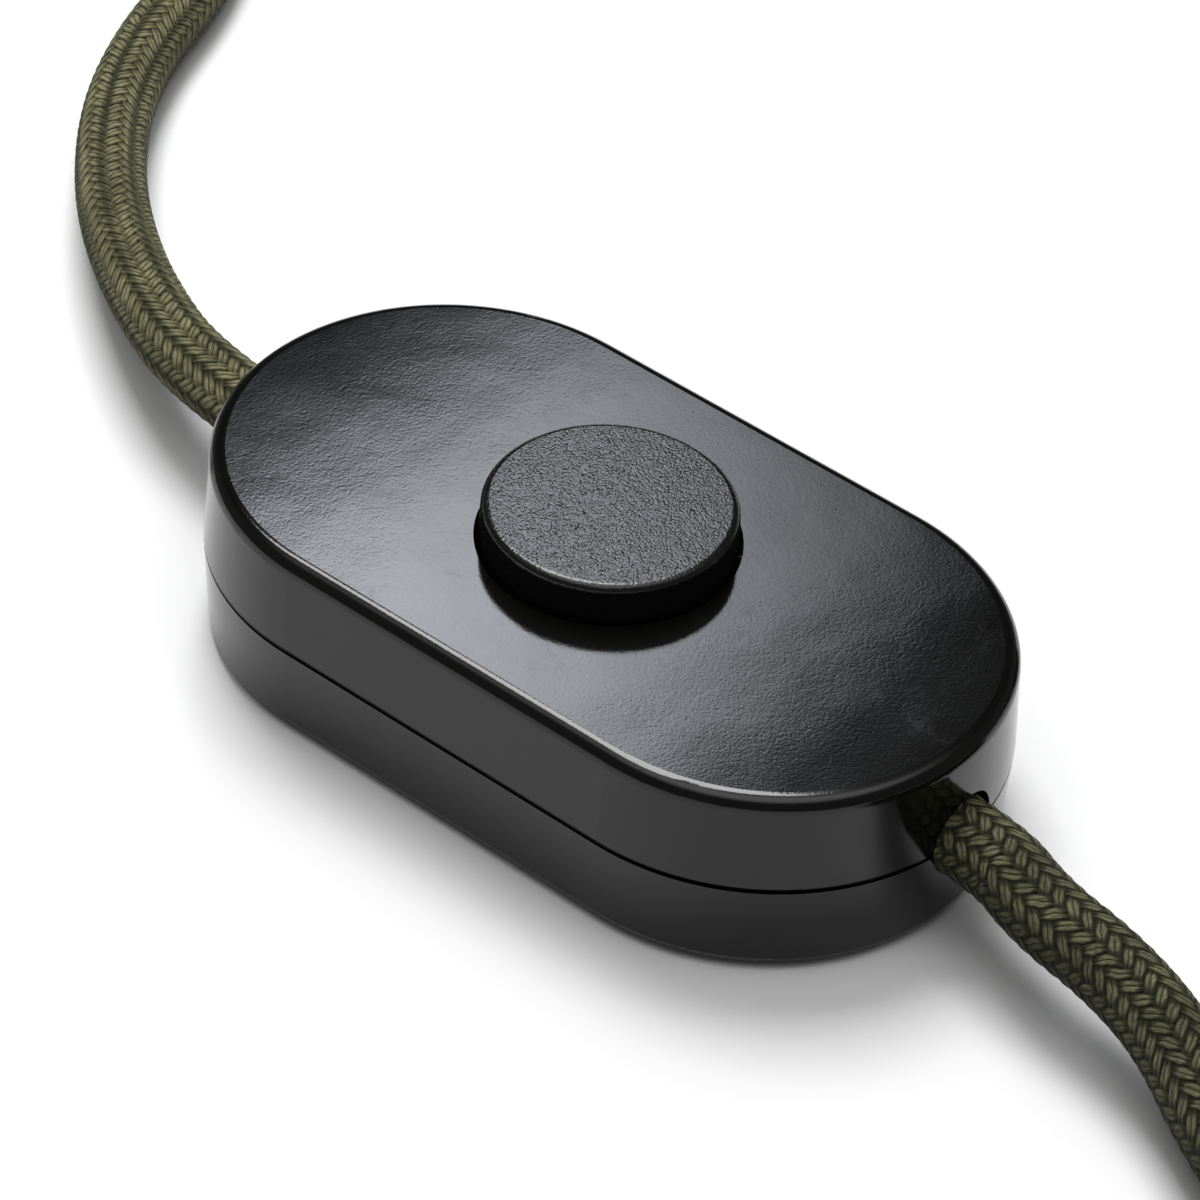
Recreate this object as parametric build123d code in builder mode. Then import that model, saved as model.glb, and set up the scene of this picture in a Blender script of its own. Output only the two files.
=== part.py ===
from build123d import *

import math
import os

os.makedirs("parts", exist_ok=True)

# Lamp foot switch on a textile covered lead. The plug side leaves at +X and the lamp side at -X.
# Millimetres, +Z up, origin on the floor under the middle of the housing.

# Housing outline, a slot with fully round ends, widest at the seam between its two shells
housing_width = 48.0
end_spacing = 38.5
draft = 3.0
wall = 2.4

# Heights of the housing
base_z = 0.8
floor_z = 3.0
seam_z = 10.6
cover_z = 21.0
cover_wall = 2.2
base_edge = 0.9
cover_edge = 1.6

# Seam between the shells: a shadow groove outside and a tongue in a rebate inside
shadow_depth = 0.45
shadow_height = 0.35
tongue_width = 1.0
tongue_height = 1.2
tongue_gap = 0.1

# How far a cutting shape reaches past what it cuts, and how far a screw's thread sits inside its hole
cut_margin = 2.0
thread_fit = 0.02
screw_clearance = 0.2

# Lead
cord_radius = 3.85
cord_hole_radius = 4.2
hole_mouth = 0.5
cord_inner_end = 30.0

# Button and its stroke
button_radius = 12.2
button_skirt_radius = 12.45
button_top_z = 25.2
button_edge = 0.8
button_roof = 2.2
button_skirt = 1.8
button_foot_z = 15.4
stroke = 3.0
stop_flange_radius = 13.7
stop_flange_height = 1.2
button_hole_radius = 12.75
collar_radius = 14.5
collar_z = 16.8
rib_x = 19.5
rib_length = 11.0
rib_thickness = 1.2
stem_socket_depth = 1.2

# Screws that close the housing from below
column_x = 25.0
column_y = 17.9
column_radius = 3.3
column_tip_radius = 2.1
column_tip_height = 2.2
housing_screw_radius = 1.35
housing_screw_clearance = 1.6
housing_screw_head = (2.8, 1.9)
housing_screw_length = 13.0
counterbore_radius = 3.1
counterbore_depth = 3.4
pilot_depth = 8.0

# Rubber feet in shallow recesses
foot_x = 33.5
foot_y = 9.0
foot_radius = 4.0
foot_height = 1.5
foot_gap = 0.1
foot_edge = 0.25

# Cord clamps
clamp_x = 35.0
clamp_screw_y = 7.4
clamp_length = 6.0
clamp_span = 20.0
clamp_z = 12.9
clamp_height = 3.0
clamp_bite = 0.25
clamp_pillar_radius = 2.4
clamp_edge = 0.5
clamp_screw_radius = 1.25
clamp_screw_head = (2.4, 1.5)
clamp_screw_length = 9.0
clamp_pilot_depth = 6.5
saddle_length = 4.2
saddle_z = 9.6

# Terminals
wire_z = 9.0
wire_hole_radius = 1.5
terminal_height = 7.0
pedestal_z = 5.0
through_terminal_y = 16.6
through_terminal_length = 16.0
through_terminal_width = 5.0
through_screw_x = 5.0
line_terminal_x = 17.0
line_terminal_length = 6.0
line_terminal_width = 7.0
terminal_edge = 0.5
terminal_screw_radius = 1.4
terminal_screw_head = (2.1, 1.2)
terminal_screw_length = 3.0
terminal_screw_lift = 0.6
pocket_wall = 1.0
pocket_height = 2.0
leaf_notch_length = 10.0
leaf_notch_width = 3.0
core_radius = 1.15
strand_radius = 0.55
strand_length = 5.0

# Ratchet rotor, turned one eighth by each press
axle_z = 9.0
axle_radius = 1.0
ratchet_teeth = 8
tooth_step = 360.0 / ratchet_teeth
ratchet_tip_radius = stroke / (2 * math.sin(math.radians(tooth_step / 2)))
ratchet_root_radius = 2.7
ratchet_y = (-1.6, 1.9)
drum_radius = 4.2
drum_end_y = 5.6
hub_radius = 2.2
contact_start_y = 3.0
contact_arm_width = 2.4
leaf_gap = 0.15
leaf_thickness = 0.45
leaf_width = 2.4
leaf_slope_x = 3.4
leaf_curl_x = 0.9
leaf_curl_z = 2.4
leaf_bend = 0.9
leaf_foot_gap = 0.2
leaf_neck_length = 5.0

# Frame that carries the rotor and guides the plunger
frame_cheek_y = 6.1
frame_cheek_thickness = 1.4
frame_cheek_length = 10.0
frame_base_length = 11.0
frame_base_height = 1.2
frame_roof_z = 13.7
frame_roof_height = 1.2
frame_roof_radius = 8.4
frame_ear_y = 10.3
frame_ear_z = 6.0
frame_ear_height = 1.2
frame_screw_radius = 1.0
frame_screw_head = (2.1, 1.3)
frame_screw_length = 5.0
frame_pilot_depth = 4.2
guide_radius = 3.0
guide_top_z = 17.6
stem_radius = 1.75
running_gap = 0.12
bearing_gap = 0.05
axle_edge = 0.2
finger_slot_x = 4.65
finger_slot_length = 3.0
finger_slot_width = 3.8

# Plunger with its pawl finger
plunger_flange_radius = 6.2
plunger_flange_height = 1.2
stem_foot_z = 16.6
stem_head_height = 1.1
finger_x = (4.75, 5.75)
finger_width = 3.0
pawl_gap = 0.2
pawl_height = 0.9
pawl_nose_height = 0.54
pawl_reach_x = 3.4

# Return spring
spring_radius = 6.95
spring_wire_radius = 0.35
spring_turns = 4.5
spring_play = 0.05

# Coils of the length that is put away
coil_outer = 5.95 * 2 * cord_radius
coil_inner = coil_outer - 2 * cord_radius
coil_lift = 0.6
coil_edge = 2.5
mains_coil_centre = (124.0, 26.0)
lamp_coil_centre = (-179.3, 51.985)
tie_gap = 0.05
tie_thickness = 0.5
tie_arc = 12.0
mains_tie_angle = -45.0
lamp_tie_angle = 135.0
# Turns of the upper layer: radius, first angle and arc
mains_upper_turns = ((coil_inner, 0, 360), (coil_outer, 140, 220))
lamp_upper_turns = ((coil_inner, 20, 205),)

# Plug
plug_flat = 16.8
plug_radius = 18.5
plug_body_length = 38.0
plug_relief_length = 28.0
plug_neck_radius = 8.0
plug_waist = (9.0, 9.5)
plug_shoulder = (17.0, 12.8)
plug_rim = 23.0
plug_edge = 0.8
pin_dome = 1.92
pin_radius = 2.4
pin_length = 19.0
pin_spacing = 19.0
earth_clip_width = 5.0
earth_clip_length = 16.0
earth_clip_depth = 1.2
earth_clip_thickness = 1.0
earth_clip_gap = 0.1
relief_small_radius = 4.6
relief_large_radius = 6.8
relief_grooves = 5
relief_groove_depth = 0.7
relief_first_groove = 4.0
relief_groove_pitch = 4.4
relief_groove_width = 1.76
relief_groove_slope = 0.3
relief_ring_step = 0.1

# Lamp end of the lead
end_sleeve_radius = 4.15
end_sleeve_length = 10.0
end_sleeve_edge = 1.2
# Each core's place across the sleeve's end and above its middle, then across where it lands and ends
end_cores = ((-1.25, -0.75, -5.2, -10.5), (0.0, 1.4, 0.8, -0.5), (1.25, -0.75, 6.8, 9.5))
end_core_ahead = 8.0
end_core_landing = 23.0
end_core_length = 34.0
end_core_bend = 9.0
ferrule_radius = 1.5
ferrule_collar_length = 5.9
ferrule_length = 14.0
ferrule_floor_gap = (0.1, 0.05)
ferrule_tip_radius = 0.65

inner_top_z = cover_z - cover_wall
leaf_y = (contact_start_y + drum_end_y) / 2
layer_low_z = cord_radius + coil_lift
layer_high_z = layer_low_z + 2 * cord_radius
column_places = [(x, y) for x in (-column_x, column_x) for y in (-column_y, column_y)]
coil_leaving = coil_inner * math.sin(math.radians(45))
foot_places = [(x, y) for x in (-foot_x, foot_x) for y in (-foot_y, foot_y)]
clamp_places = [(x, y) for x in (-clamp_x, clamp_x) for y in (-clamp_screw_y, clamp_screw_y)]
through_places = [(0, -through_terminal_y), (0, through_terminal_y)]
line_places = [(-line_terminal_x, 0), (line_terminal_x, 0)]

# Routes of the lead. Each list is followed by straight runs joined with wide arcs.
mains_route = [
    (cord_inner_end, 0, seam_z),
    (52, -0.3, seam_z),
    (73, -5.6, 7.2),
    (93, -14.4, 4.0),
    (108, -18.6, cord_radius),
    (mains_coil_centre[0], mains_coil_centre[1] - coil_outer, layer_low_z),
]
mains_tail_route = [
    (mains_coil_centre[0] + coil_outer, mains_coil_centre[1], layer_high_z),
    (169.8, 57.5, 10.8),
    (156.3, 81.2, 11.5),
    (132.6, 94.9, plug_flat),
    (108, 95.6, plug_flat),
]
lamp_route = [
    (-cord_inner_end, 0, seam_z),
    (-51.3, -0.3, seam_z),
    (-71.0, 9.2, 8.3),
    (-88.7, 23.3, 5.6),
    (-102, 40.8, 4.1),
    (-109, 62, cord_radius),
    (-121.3, 79.0, cord_radius),
    (-138.3, 91.3, cord_radius),
    (-158.3, 97.8, 3.9),
    (lamp_coil_centre[0], lamp_coil_centre[1] + coil_outer, layer_low_z),
]
lamp_tail_route = [
    (lamp_coil_centre[0] - coil_leaving, lamp_coil_centre[1] - coil_leaving, layer_high_z),
    (-182.2, 1.0, 12.5),
    (-168.3, -7.0, 8.4),
    (-152.9, -11.1, 4.2),
    (-135.4, -11.1, 4.2),
]

# Routes of the three cores from the cut end of the sheath to their terminals, on the plug side
core_routes = {
    "line_core": [(30, 0, 12.0), (27.4, 0, 12.0), (23.8, 0, wire_z), (20.2, 0, wire_z)],
    "neutral_core": [(30, 1.3, 9.8), (26.8, 1.3, 9.8), (15.5, 16.6, wire_z), (8.3, 16.6, wire_z)],
    "earth_core": [(30, -1.3, 9.8), (26.8, -1.3, 9.8), (15.5, -16.6, wire_z), (8.3, -16.6, wire_z)],
}
core_bends = [3.5, 3.0]

# Pan head screws: crown, shoulder and recess as shares of the head's radius and height
crown_share = 0.6
shoulder_share = 0.45
recess_length_share = 1.1
recess_width_share = 0.25
recess_depth_share = 0.55


def bend_radii(points):
    """Radius at each inner point: 0.45 of the shorter run beside it, over the tangent of half its turn."""
    route = [Vector(*point) for point in points]
    radii = []
    for before, corner, after in zip(route, route[1:], route[2:]):
        arriving = corner - before
        leaving = after - corner
        half_turn = math.radians(arriving.get_angle(leaving)) / 2
        radii.append(round(0.45 * min(arriving.length, leaving.length) / math.tan(half_turn), 1))
    return radii


def swept_tube(name, points, radius, radii):
    """Round tube along straight runs joined by arcs; prints its length, radii and volume check."""
    with BuildPart() as tube:
        with BuildLine() as route:
            FilletPolyline(*points, radius=radii)
        path = route.wire()
        with BuildSketch(Plane(origin=path @ 0, z_dir=path % 0)):
            Circle(radius)
        sweep(path=path)
    length = path.length
    share = tube.part.volume / (math.pi * radius**2 * length)
    print(name, "length", round(length, 1), "radii", radii, "volume share", round(share, 4))
    return tube.part


def pan_screw(head_radius, head_height, shank_radius, shank_length):
    """Round headed screw with a cross recess. Its head stands on the origin and its shank goes down."""
    with BuildPart() as screw:
        with BuildSketch(Plane.XZ):
            with BuildLine():
                Polyline(
                    (0, head_height),
                    (head_radius * crown_share, head_height),
                    (head_radius, head_height * shoulder_share),
                    (head_radius, 0),
                    (shank_radius, 0),
                    (shank_radius, -shank_length + shank_radius),
                    (0, -shank_length),
                    close=True,
                )
            make_face()
        revolve(axis=Axis.Z)
        recess_length = head_radius * recess_length_share
        recess_width = head_radius * recess_width_share
        with BuildSketch(Plane.XY.offset(head_height)):
            Rectangle(recess_length, recess_width)
            Rectangle(recess_width, recess_length)
        extrude(amount=-head_height * recess_depth_share, mode=Mode.SUBTRACT)
    return screw.part


# Lower shell: tapered tray with floor, columns, cord saddles, clamp pillars and terminal pockets
with BuildPart() as lower_shell:
    with BuildSketch(Plane.XY.offset(seam_z)):
        SlotCenterToCenter(end_spacing, housing_width)
    extrude(amount=-(seam_z - base_z), taper=draft)
    fillet(lower_shell.edges().group_by(Axis.Z)[0], base_edge)
    with BuildSketch(Plane.XY.offset(seam_z)):
        SlotCenterToCenter(end_spacing, housing_width - 2 * wall)
    extrude(amount=-(seam_z - floor_z), taper=draft, mode=Mode.SUBTRACT)
    # Tongue that stands above the seam
    with BuildSketch(Plane.XY.offset(seam_z)):
        SlotCenterToCenter(end_spacing, housing_width - 2 * (wall - tongue_width))
        SlotCenterToCenter(end_spacing, housing_width - 2 * wall, mode=Mode.SUBTRACT)
    extrude(amount=tongue_height)
    # Shadow groove round the outside of the seam
    with BuildSketch(Plane.XY.offset(seam_z)):
        SlotCenterToCenter(end_spacing, housing_width + cut_margin)
        SlotCenterToCenter(end_spacing, housing_width - 2 * shadow_depth, mode=Mode.SUBTRACT)
    extrude(amount=-shadow_height, mode=Mode.SUBTRACT)
    # Columns for the closing screws
    with BuildSketch(Plane.XY.offset(floor_z)):
        with Locations(*column_places):
            Circle(column_radius)
    extrude(amount=seam_z - floor_z)
    # Pillars for the clamp screws
    with BuildSketch(Plane.XY.offset(floor_z)):
        with Locations(*clamp_places):
            Circle(clamp_pillar_radius)
    extrude(amount=clamp_z - floor_z)
    # Saddle ribs under the lead
    with BuildSketch(Plane.XY.offset(floor_z)):
        with Locations((-clamp_x, 0), (clamp_x, 0)):
            Rectangle(saddle_length, 2 * clamp_screw_y)
    extrude(amount=saddle_z - floor_z)
    # Posts for the frame screws
    with BuildSketch(Plane.XY.offset(floor_z)):
        with Locations((0, -frame_ear_y), (0, frame_ear_y)):
            Circle(clamp_pillar_radius)
    extrude(amount=frame_ear_z - floor_z)
    # Pedestals and pocket walls of the two through terminals
    with BuildSketch(Plane.XY.offset(floor_z)):
        with Locations(*through_places):
            Rectangle(through_terminal_length + 2 * pocket_wall, through_terminal_width + 2 * pocket_wall)
        with Locations(*line_places):
            Rectangle(line_terminal_length + 2 * pocket_wall, line_terminal_width + 2 * pocket_wall)
    extrude(amount=pedestal_z + pocket_height - floor_z)
    with BuildSketch(Plane.XY.offset(pedestal_z)):
        with Locations(*through_places):
            Rectangle(through_terminal_length, through_terminal_width)
        with Locations(*line_places):
            Rectangle(line_terminal_length, line_terminal_width)
    extrude(amount=pocket_height, mode=Mode.SUBTRACT)
    # Notches in the line pockets, where the contact leaves come out
    with BuildSketch(Plane.XY.offset(pedestal_z)):
        with Locations((-line_terminal_x, leaf_y), (line_terminal_x, leaf_y)):
            Rectangle(leaf_notch_length, leaf_notch_width)
    extrude(amount=pocket_height, mode=Mode.SUBTRACT)
    # Half holes for the lead, with flared mouths
    housing_length = end_spacing + housing_width
    half_length = housing_length / 2
    with Locations(Location((0, 0, seam_z), (0, 90, 0))):
        Cylinder(cord_hole_radius, housing_length + cut_margin, mode=Mode.SUBTRACT)
    mouths = [Location((side * half_length, 0, seam_z), (0, side * 90, 0)) for side in (1, -1)]
    with Locations(*mouths):
        Cone(cord_hole_radius, cord_hole_radius + hole_mouth, 2 * hole_mouth, mode=Mode.SUBTRACT)
    # Screw holes from below, then pilot holes from above
    with Locations(*[Location((x, y, base_z), (180, 0, 0)) for x, y in column_places]):
        CounterBoreHole(housing_screw_clearance, counterbore_radius, counterbore_depth)
    with Locations(*[(x, y, clamp_z) for x, y in clamp_places]):
        Hole(clamp_screw_radius + thread_fit, depth=clamp_pilot_depth)
    with Locations((0, -frame_ear_y, frame_ear_z), (0, frame_ear_y, frame_ear_z)):
        Hole(frame_screw_radius + thread_fit, depth=frame_pilot_depth)
    # Recesses for the feet
    with BuildSketch(Plane.XY.offset(base_z)):
        with Locations(*foot_places):
            Circle(foot_radius + foot_gap)
    extrude(amount=foot_height - base_z, mode=Mode.SUBTRACT)
lower_shell.part.label = "lower_shell"
export_step(lower_shell.part, "parts/lower_shell.step")

# Upper shell: tapered cover with the button hole and its collar
with BuildPart() as upper_shell:
    with BuildSketch(Plane.XY.offset(seam_z)):
        SlotCenterToCenter(end_spacing, housing_width)
    extrude(amount=cover_z - seam_z, taper=draft)
    fillet(upper_shell.edges().group_by(Axis.Z)[-1], cover_edge)
    with BuildSketch(Plane.XY.offset(seam_z)):
        SlotCenterToCenter(end_spacing, housing_width - 2 * wall)
    extrude(amount=inner_top_z - seam_z, taper=draft, mode=Mode.SUBTRACT)
    # Rebate for the tongue of the lower shell
    with BuildSketch(Plane.XY.offset(seam_z)):
        SlotCenterToCenter(end_spacing, housing_width - 2 * (wall - tongue_width - tongue_gap))
    extrude(amount=tongue_height + tongue_gap, mode=Mode.SUBTRACT)
    # Columns that take the closing screws
    with BuildSketch(Plane.XY.offset(seam_z + tongue_height + tongue_gap)):
        with Locations(*column_places):
            Circle(column_radius)
    extrude(until=Until.NEXT)
    with BuildSketch(Plane.XY.offset(seam_z)):
        with Locations(*column_places):
            Circle(column_tip_radius)
    extrude(amount=column_tip_height)
    # Collar that guides the button
    with BuildSketch(Plane.XY.offset(collar_z)):
        Circle(collar_radius)
    extrude(amount=cover_z - cover_wall / 2 - collar_z)
    # Stiffening ribs from the collar to the ends
    with BuildSketch(Plane.XY.offset(collar_z)):
        with Locations((-rib_x, 0), (rib_x, 0)):
            Rectangle(rib_length, rib_thickness)
    extrude(amount=cover_z - cover_wall / 2 - collar_z)
    with Locations((0, 0, cover_z)):
        Hole(button_hole_radius)
    with Locations(Location((0, 0, seam_z), (0, 90, 0))):
        Cylinder(cord_hole_radius, housing_length + cut_margin, mode=Mode.SUBTRACT)
    with Locations(*mouths):
        Cone(cord_hole_radius, cord_hole_radius + hole_mouth, 2 * hole_mouth, mode=Mode.SUBTRACT)
    with Locations(*[Location((x, y, seam_z), (180, 0, 0)) for x, y in column_places]):
        Hole(housing_screw_radius + thread_fit, depth=pilot_depth)
upper_shell.part.label = "upper_shell"
export_step(upper_shell.part, "parts/upper_shell.step")

# Four screws that close the housing, heads sunk in the counterbores
with BuildPart() as housing_screws:
    with Locations(*[Location((x, y, base_z + counterbore_depth), (180, 0, 0)) for x, y in column_places]):
        add(pan_screw(*housing_screw_head, housing_screw_radius, housing_screw_length))
housing_screws.part.label = "housing_screws"
export_step(housing_screws.part, "parts/housing_screws.step")

# Four round rubber feet
with BuildPart() as rubber_feet:
    with BuildSketch():
        with Locations(*foot_places):
            Circle(foot_radius)
    extrude(amount=foot_height)
    fillet(rubber_feet.edges().group_by(Axis.Z)[0], foot_edge)
rubber_feet.part.label = "rubber_feet"
export_step(rubber_feet.part, "parts/rubber_feet.step")

# Clamp bars with a groove that bites on the lead
for side, sign in (("mains", 1), ("lamp", -1)):
    with BuildPart() as cord_clamp:
        with BuildSketch(Plane.XY.offset(clamp_z)):
            with Locations((sign * clamp_x, 0)):
                SlotOverall(clamp_span, clamp_length, rotation=90)
        extrude(amount=clamp_height)
        fillet(cord_clamp.edges().group_by(Axis.Z)[-1], clamp_edge)
        with Locations(Location((sign * clamp_x, 0, seam_z), (0, 90, 0))):
            Cylinder(cord_radius - clamp_bite, clamp_length + cut_margin, mode=Mode.SUBTRACT)
        with Locations(*[(x, y, clamp_z + clamp_height) for x, y in clamp_places if x * sign > 0]):
            Hole(clamp_screw_radius + screw_clearance)
    cord_clamp.part.label = side + "_cord_clamp"
    export_step(cord_clamp.part, "parts/" + side + "_cord_clamp.step")

with BuildPart() as clamp_screws:
    with Locations(*[(x, y, clamp_z + clamp_height) for x, y in clamp_places]):
        add(pan_screw(*clamp_screw_head, clamp_screw_radius, clamp_screw_length))
clamp_screws.part.label = "clamp_screws"
export_step(clamp_screws.part, "parts/clamp_screws.step")

# Neutral and earth terminals, blocks with one wire bore from end to end and two screws
for name, sign in (("neutral_terminal", 1), ("earth_terminal", -1)):
    with BuildPart() as through_terminal:
        with BuildSketch(Plane.XY.offset(pedestal_z)):
            with Locations((0, sign * through_terminal_y)):
                Rectangle(through_terminal_length, through_terminal_width)
        extrude(amount=terminal_height)
        chamfer(through_terminal.edges().filter_by(Axis.Z), terminal_edge)
        with Locations(Location((0, sign * through_terminal_y, wire_z), (0, 90, 0))):
            Cylinder(wire_hole_radius, through_terminal_length + cut_margin, mode=Mode.SUBTRACT)
        top_z = pedestal_z + terminal_height
        with Locations(*[(x, sign * through_terminal_y, top_z) for x in (-through_screw_x, through_screw_x)]):
            Hole(terminal_screw_radius + thread_fit, depth=top_z - wire_z)
    through_terminal.part.label = name
    export_step(through_terminal.part, "parts/" + name + ".step")

# Line terminals, one for each side of the switch, standing on the foot of their contact leaf
for name, sign in (("line_in_terminal", 1), ("line_out_terminal", -1)):
    with BuildPart() as line_terminal:
        with BuildSketch(Plane.XY.offset(pedestal_z + leaf_thickness)):
            with Locations((sign * line_terminal_x, 0)):
                Rectangle(line_terminal_length, line_terminal_width)
        extrude(amount=terminal_height - leaf_thickness)
        chamfer(line_terminal.edges().filter_by(Axis.Z), terminal_edge)
        with Locations(Location((sign * line_terminal_x, 0, wire_z), (0, 90, 0))):
            Cylinder(wire_hole_radius, line_terminal_length + cut_margin, mode=Mode.SUBTRACT)
        with Locations((sign * line_terminal_x, 0, top_z)):
            Hole(terminal_screw_radius + thread_fit, depth=top_z - wire_z)
    line_terminal.part.label = name
    export_step(line_terminal.part, "parts/" + name + ".step")

# Six screws that press the stripped wires in the terminals
with BuildPart() as terminal_screws:
    screw_places = [(x, y) for x in (-through_screw_x, through_screw_x) for _, y in through_places]
    with Locations(*[(x, y, top_z + terminal_screw_lift) for x, y in screw_places + line_places]):
        add(pan_screw(*terminal_screw_head, terminal_screw_radius, terminal_screw_length))
terminal_screws.part.label = "terminal_screws"
export_step(terminal_screws.part, "parts/terminal_screws.step")

# Contact leaves of bent strip: a foot under the terminal, then a blade that bears on the rotor drum
for name, sign in (("line_in_leaf", 1), ("line_out_leaf", -1)):
    touch_x = drum_radius + leaf_gap
    with BuildPart() as contact_leaf:
        with BuildSketch(Plane.XZ.offset(-(leaf_y - leaf_width / 2))):
            with BuildLine() as bend:
                FilletPolyline(
                    (sign * line_terminal_x, pedestal_z),
                    (sign * (touch_x + leaf_slope_x), pedestal_z),
                    (sign * touch_x, axle_z),
                    (sign * (touch_x + leaf_curl_x), axle_z + leaf_curl_z),
                    radius=leaf_bend,
                )
                offset(amount=leaf_thickness, side=Side.RIGHT if sign > 0 else Side.LEFT)
            make_face()
        extrude(amount=-leaf_width)
        with BuildSketch(Plane.XY.offset(pedestal_z)):
            with Locations((sign * line_terminal_x, 0)):
                Rectangle(line_terminal_length - leaf_foot_gap, line_terminal_width - leaf_foot_gap)
            with Locations((sign * line_terminal_x, leaf_y / 2)):
                Rectangle(leaf_neck_length, leaf_y + leaf_width)
        extrude(amount=leaf_thickness)
    contact_leaf.part.label = name
    export_step(contact_leaf.part, "parts/" + name + ".step")

# Insulated cores inside the housing, each with its stripped end in a terminal
for side, sign in (("mains", 1), ("lamp", -1)):
    for core_name, path in core_routes.items():
        points = [(sign * x, y, z) for x, y, z in path]
        end_x, end_y, end_z = points[-1]
        insulation = swept_tube(side + "_" + core_name, points, core_radius, core_bends)
        with BuildPart() as core:
            add(insulation)
            with BuildSketch(Plane(origin=(end_x, end_y, end_z), z_dir=(-sign, 0, 0))):
                Circle(strand_radius)
            extrude(amount=strand_length)
        core.part.label = side + "_" + core_name
        export_step(core.part, "parts/" + side + "_" + core_name + ".step")

# Frame: base plate, two cheeks with the axle bearings, a roof with the plunger guide, and two ears
with BuildPart() as switch_frame:
    cheek_middle = frame_cheek_y + frame_cheek_thickness / 2
    with BuildSketch(Plane.XY.offset(floor_z)):
        Rectangle(frame_base_length, 2 * (frame_cheek_y + frame_cheek_thickness))
    extrude(amount=frame_base_height)
    with BuildSketch(Plane.XY.offset(floor_z)):
        with Locations((0, -cheek_middle), (0, cheek_middle)):
            Rectangle(frame_cheek_length, frame_cheek_thickness)
    extrude(amount=frame_roof_z - floor_z)
    with BuildSketch(Plane.XY.offset(frame_roof_z)):
        Circle(frame_roof_radius)
    extrude(amount=frame_roof_height)
    with BuildSketch(Plane.XY.offset(frame_roof_z)):
        Circle(guide_radius)
    extrude(amount=guide_top_z - frame_roof_z)
    with BuildSketch(Plane.XY.offset(frame_ear_z)):
        SlotCenterToCenter(2 * frame_ear_y, 2 * clamp_pillar_radius, rotation=90)
        Rectangle(frame_base_length, 2 * frame_cheek_y, mode=Mode.SUBTRACT)
    extrude(amount=frame_ear_height)
    with Locations((0, 0, guide_top_z)):
        Hole(stem_radius + running_gap, depth=guide_top_z - frame_roof_z + cut_margin)
    with BuildSketch(Plane.XY.offset(frame_roof_z)):
        with Locations((finger_slot_x, 0)):
            Rectangle(finger_slot_length, finger_slot_width)
    extrude(amount=frame_roof_height + cut_margin, mode=Mode.SUBTRACT)
    with Locations(Location((0, 0, axle_z), (90, 0, 0))):
        Cylinder(axle_radius + bearing_gap, 4 * frame_cheek_y, mode=Mode.SUBTRACT)
    ear_top_z = frame_ear_z + frame_ear_height
    with Locations((0, -frame_ear_y, ear_top_z), (0, frame_ear_y, ear_top_z)):
        Hole(frame_screw_radius + screw_clearance, depth=2 * frame_ear_height)
switch_frame.part.label = "switch_frame"
export_step(switch_frame.part, "parts/switch_frame.step")

with BuildPart() as frame_screws:
    with Locations((0, -frame_ear_y, ear_top_z), (0, frame_ear_y, ear_top_z)):
        add(pan_screw(*frame_screw_head, frame_screw_radius, frame_screw_length))
frame_screws.part.label = "frame_screws"
export_step(frame_screws.part, "parts/frame_screws.step")

# Rotor: ratchet wheel, hub and contact drum in one moulding, on a horizontal axle along Y
wheel_points = []
for tooth in range(ratchet_teeth):
    flank = math.radians(tooth_step * (tooth + 0.5))
    wheel_points.append((ratchet_tip_radius * math.cos(flank), ratchet_tip_radius * math.sin(flank)))
    wheel_points.append((ratchet_root_radius * math.cos(flank), ratchet_root_radius * math.sin(flank)))
rotor_plane = Plane(origin=(0, 0, axle_z), x_dir=(1, 0, 0), z_dir=(0, -1, 0))
with BuildPart() as ratchet_rotor:
    with BuildSketch(rotor_plane.offset(-ratchet_y[1])):
        Polygon(*wheel_points, align=None)
    extrude(amount=ratchet_y[1] - ratchet_y[0])
    with BuildSketch(rotor_plane.offset(-drum_end_y)):
        Circle(drum_radius)
    extrude(amount=drum_end_y - ratchet_y[1])
    with BuildSketch(rotor_plane.offset(-ratchet_y[0])):
        Circle(hub_radius)
    extrude(amount=drum_end_y + ratchet_y[0])
    with BuildSketch(rotor_plane.offset(-drum_end_y)):
        Rectangle(2 * drum_radius + cut_margin, contact_arm_width)
        Rectangle(contact_arm_width, 2 * drum_radius + cut_margin)
    extrude(amount=drum_end_y - contact_start_y, mode=Mode.SUBTRACT)
    with BuildSketch(rotor_plane.offset(-drum_end_y)):
        Circle(axle_radius)
    extrude(amount=2 * drum_end_y, mode=Mode.SUBTRACT)
ratchet_rotor.part.label = "ratchet_rotor"
export_step(ratchet_rotor.part, "parts/ratchet_rotor.step")

# Brass cross in the drum, which joins the two leaves at every second step
with BuildPart() as rotor_contact:
    with BuildSketch(rotor_plane.offset(-drum_end_y)):
        Rectangle(2 * drum_radius + cut_margin, contact_arm_width)
        Rectangle(contact_arm_width, 2 * drum_radius + cut_margin)
        Circle(drum_radius, mode=Mode.INTERSECT)
        Circle(axle_radius, mode=Mode.SUBTRACT)
    extrude(amount=drum_end_y - contact_start_y)
rotor_contact.part.label = "rotor_contact"
export_step(rotor_contact.part, "parts/rotor_contact.step")

with BuildPart() as rotor_axle:
    axle_half = frame_cheek_y + frame_cheek_thickness
    with BuildSketch(rotor_plane.offset(-axle_half)):
        Circle(axle_radius)
    extrude(amount=2 * axle_half)
    chamfer(rotor_axle.edges(), axle_edge)
rotor_axle.part.label = "rotor_axle"
export_step(rotor_axle.part, "parts/rotor_axle.step")

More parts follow.
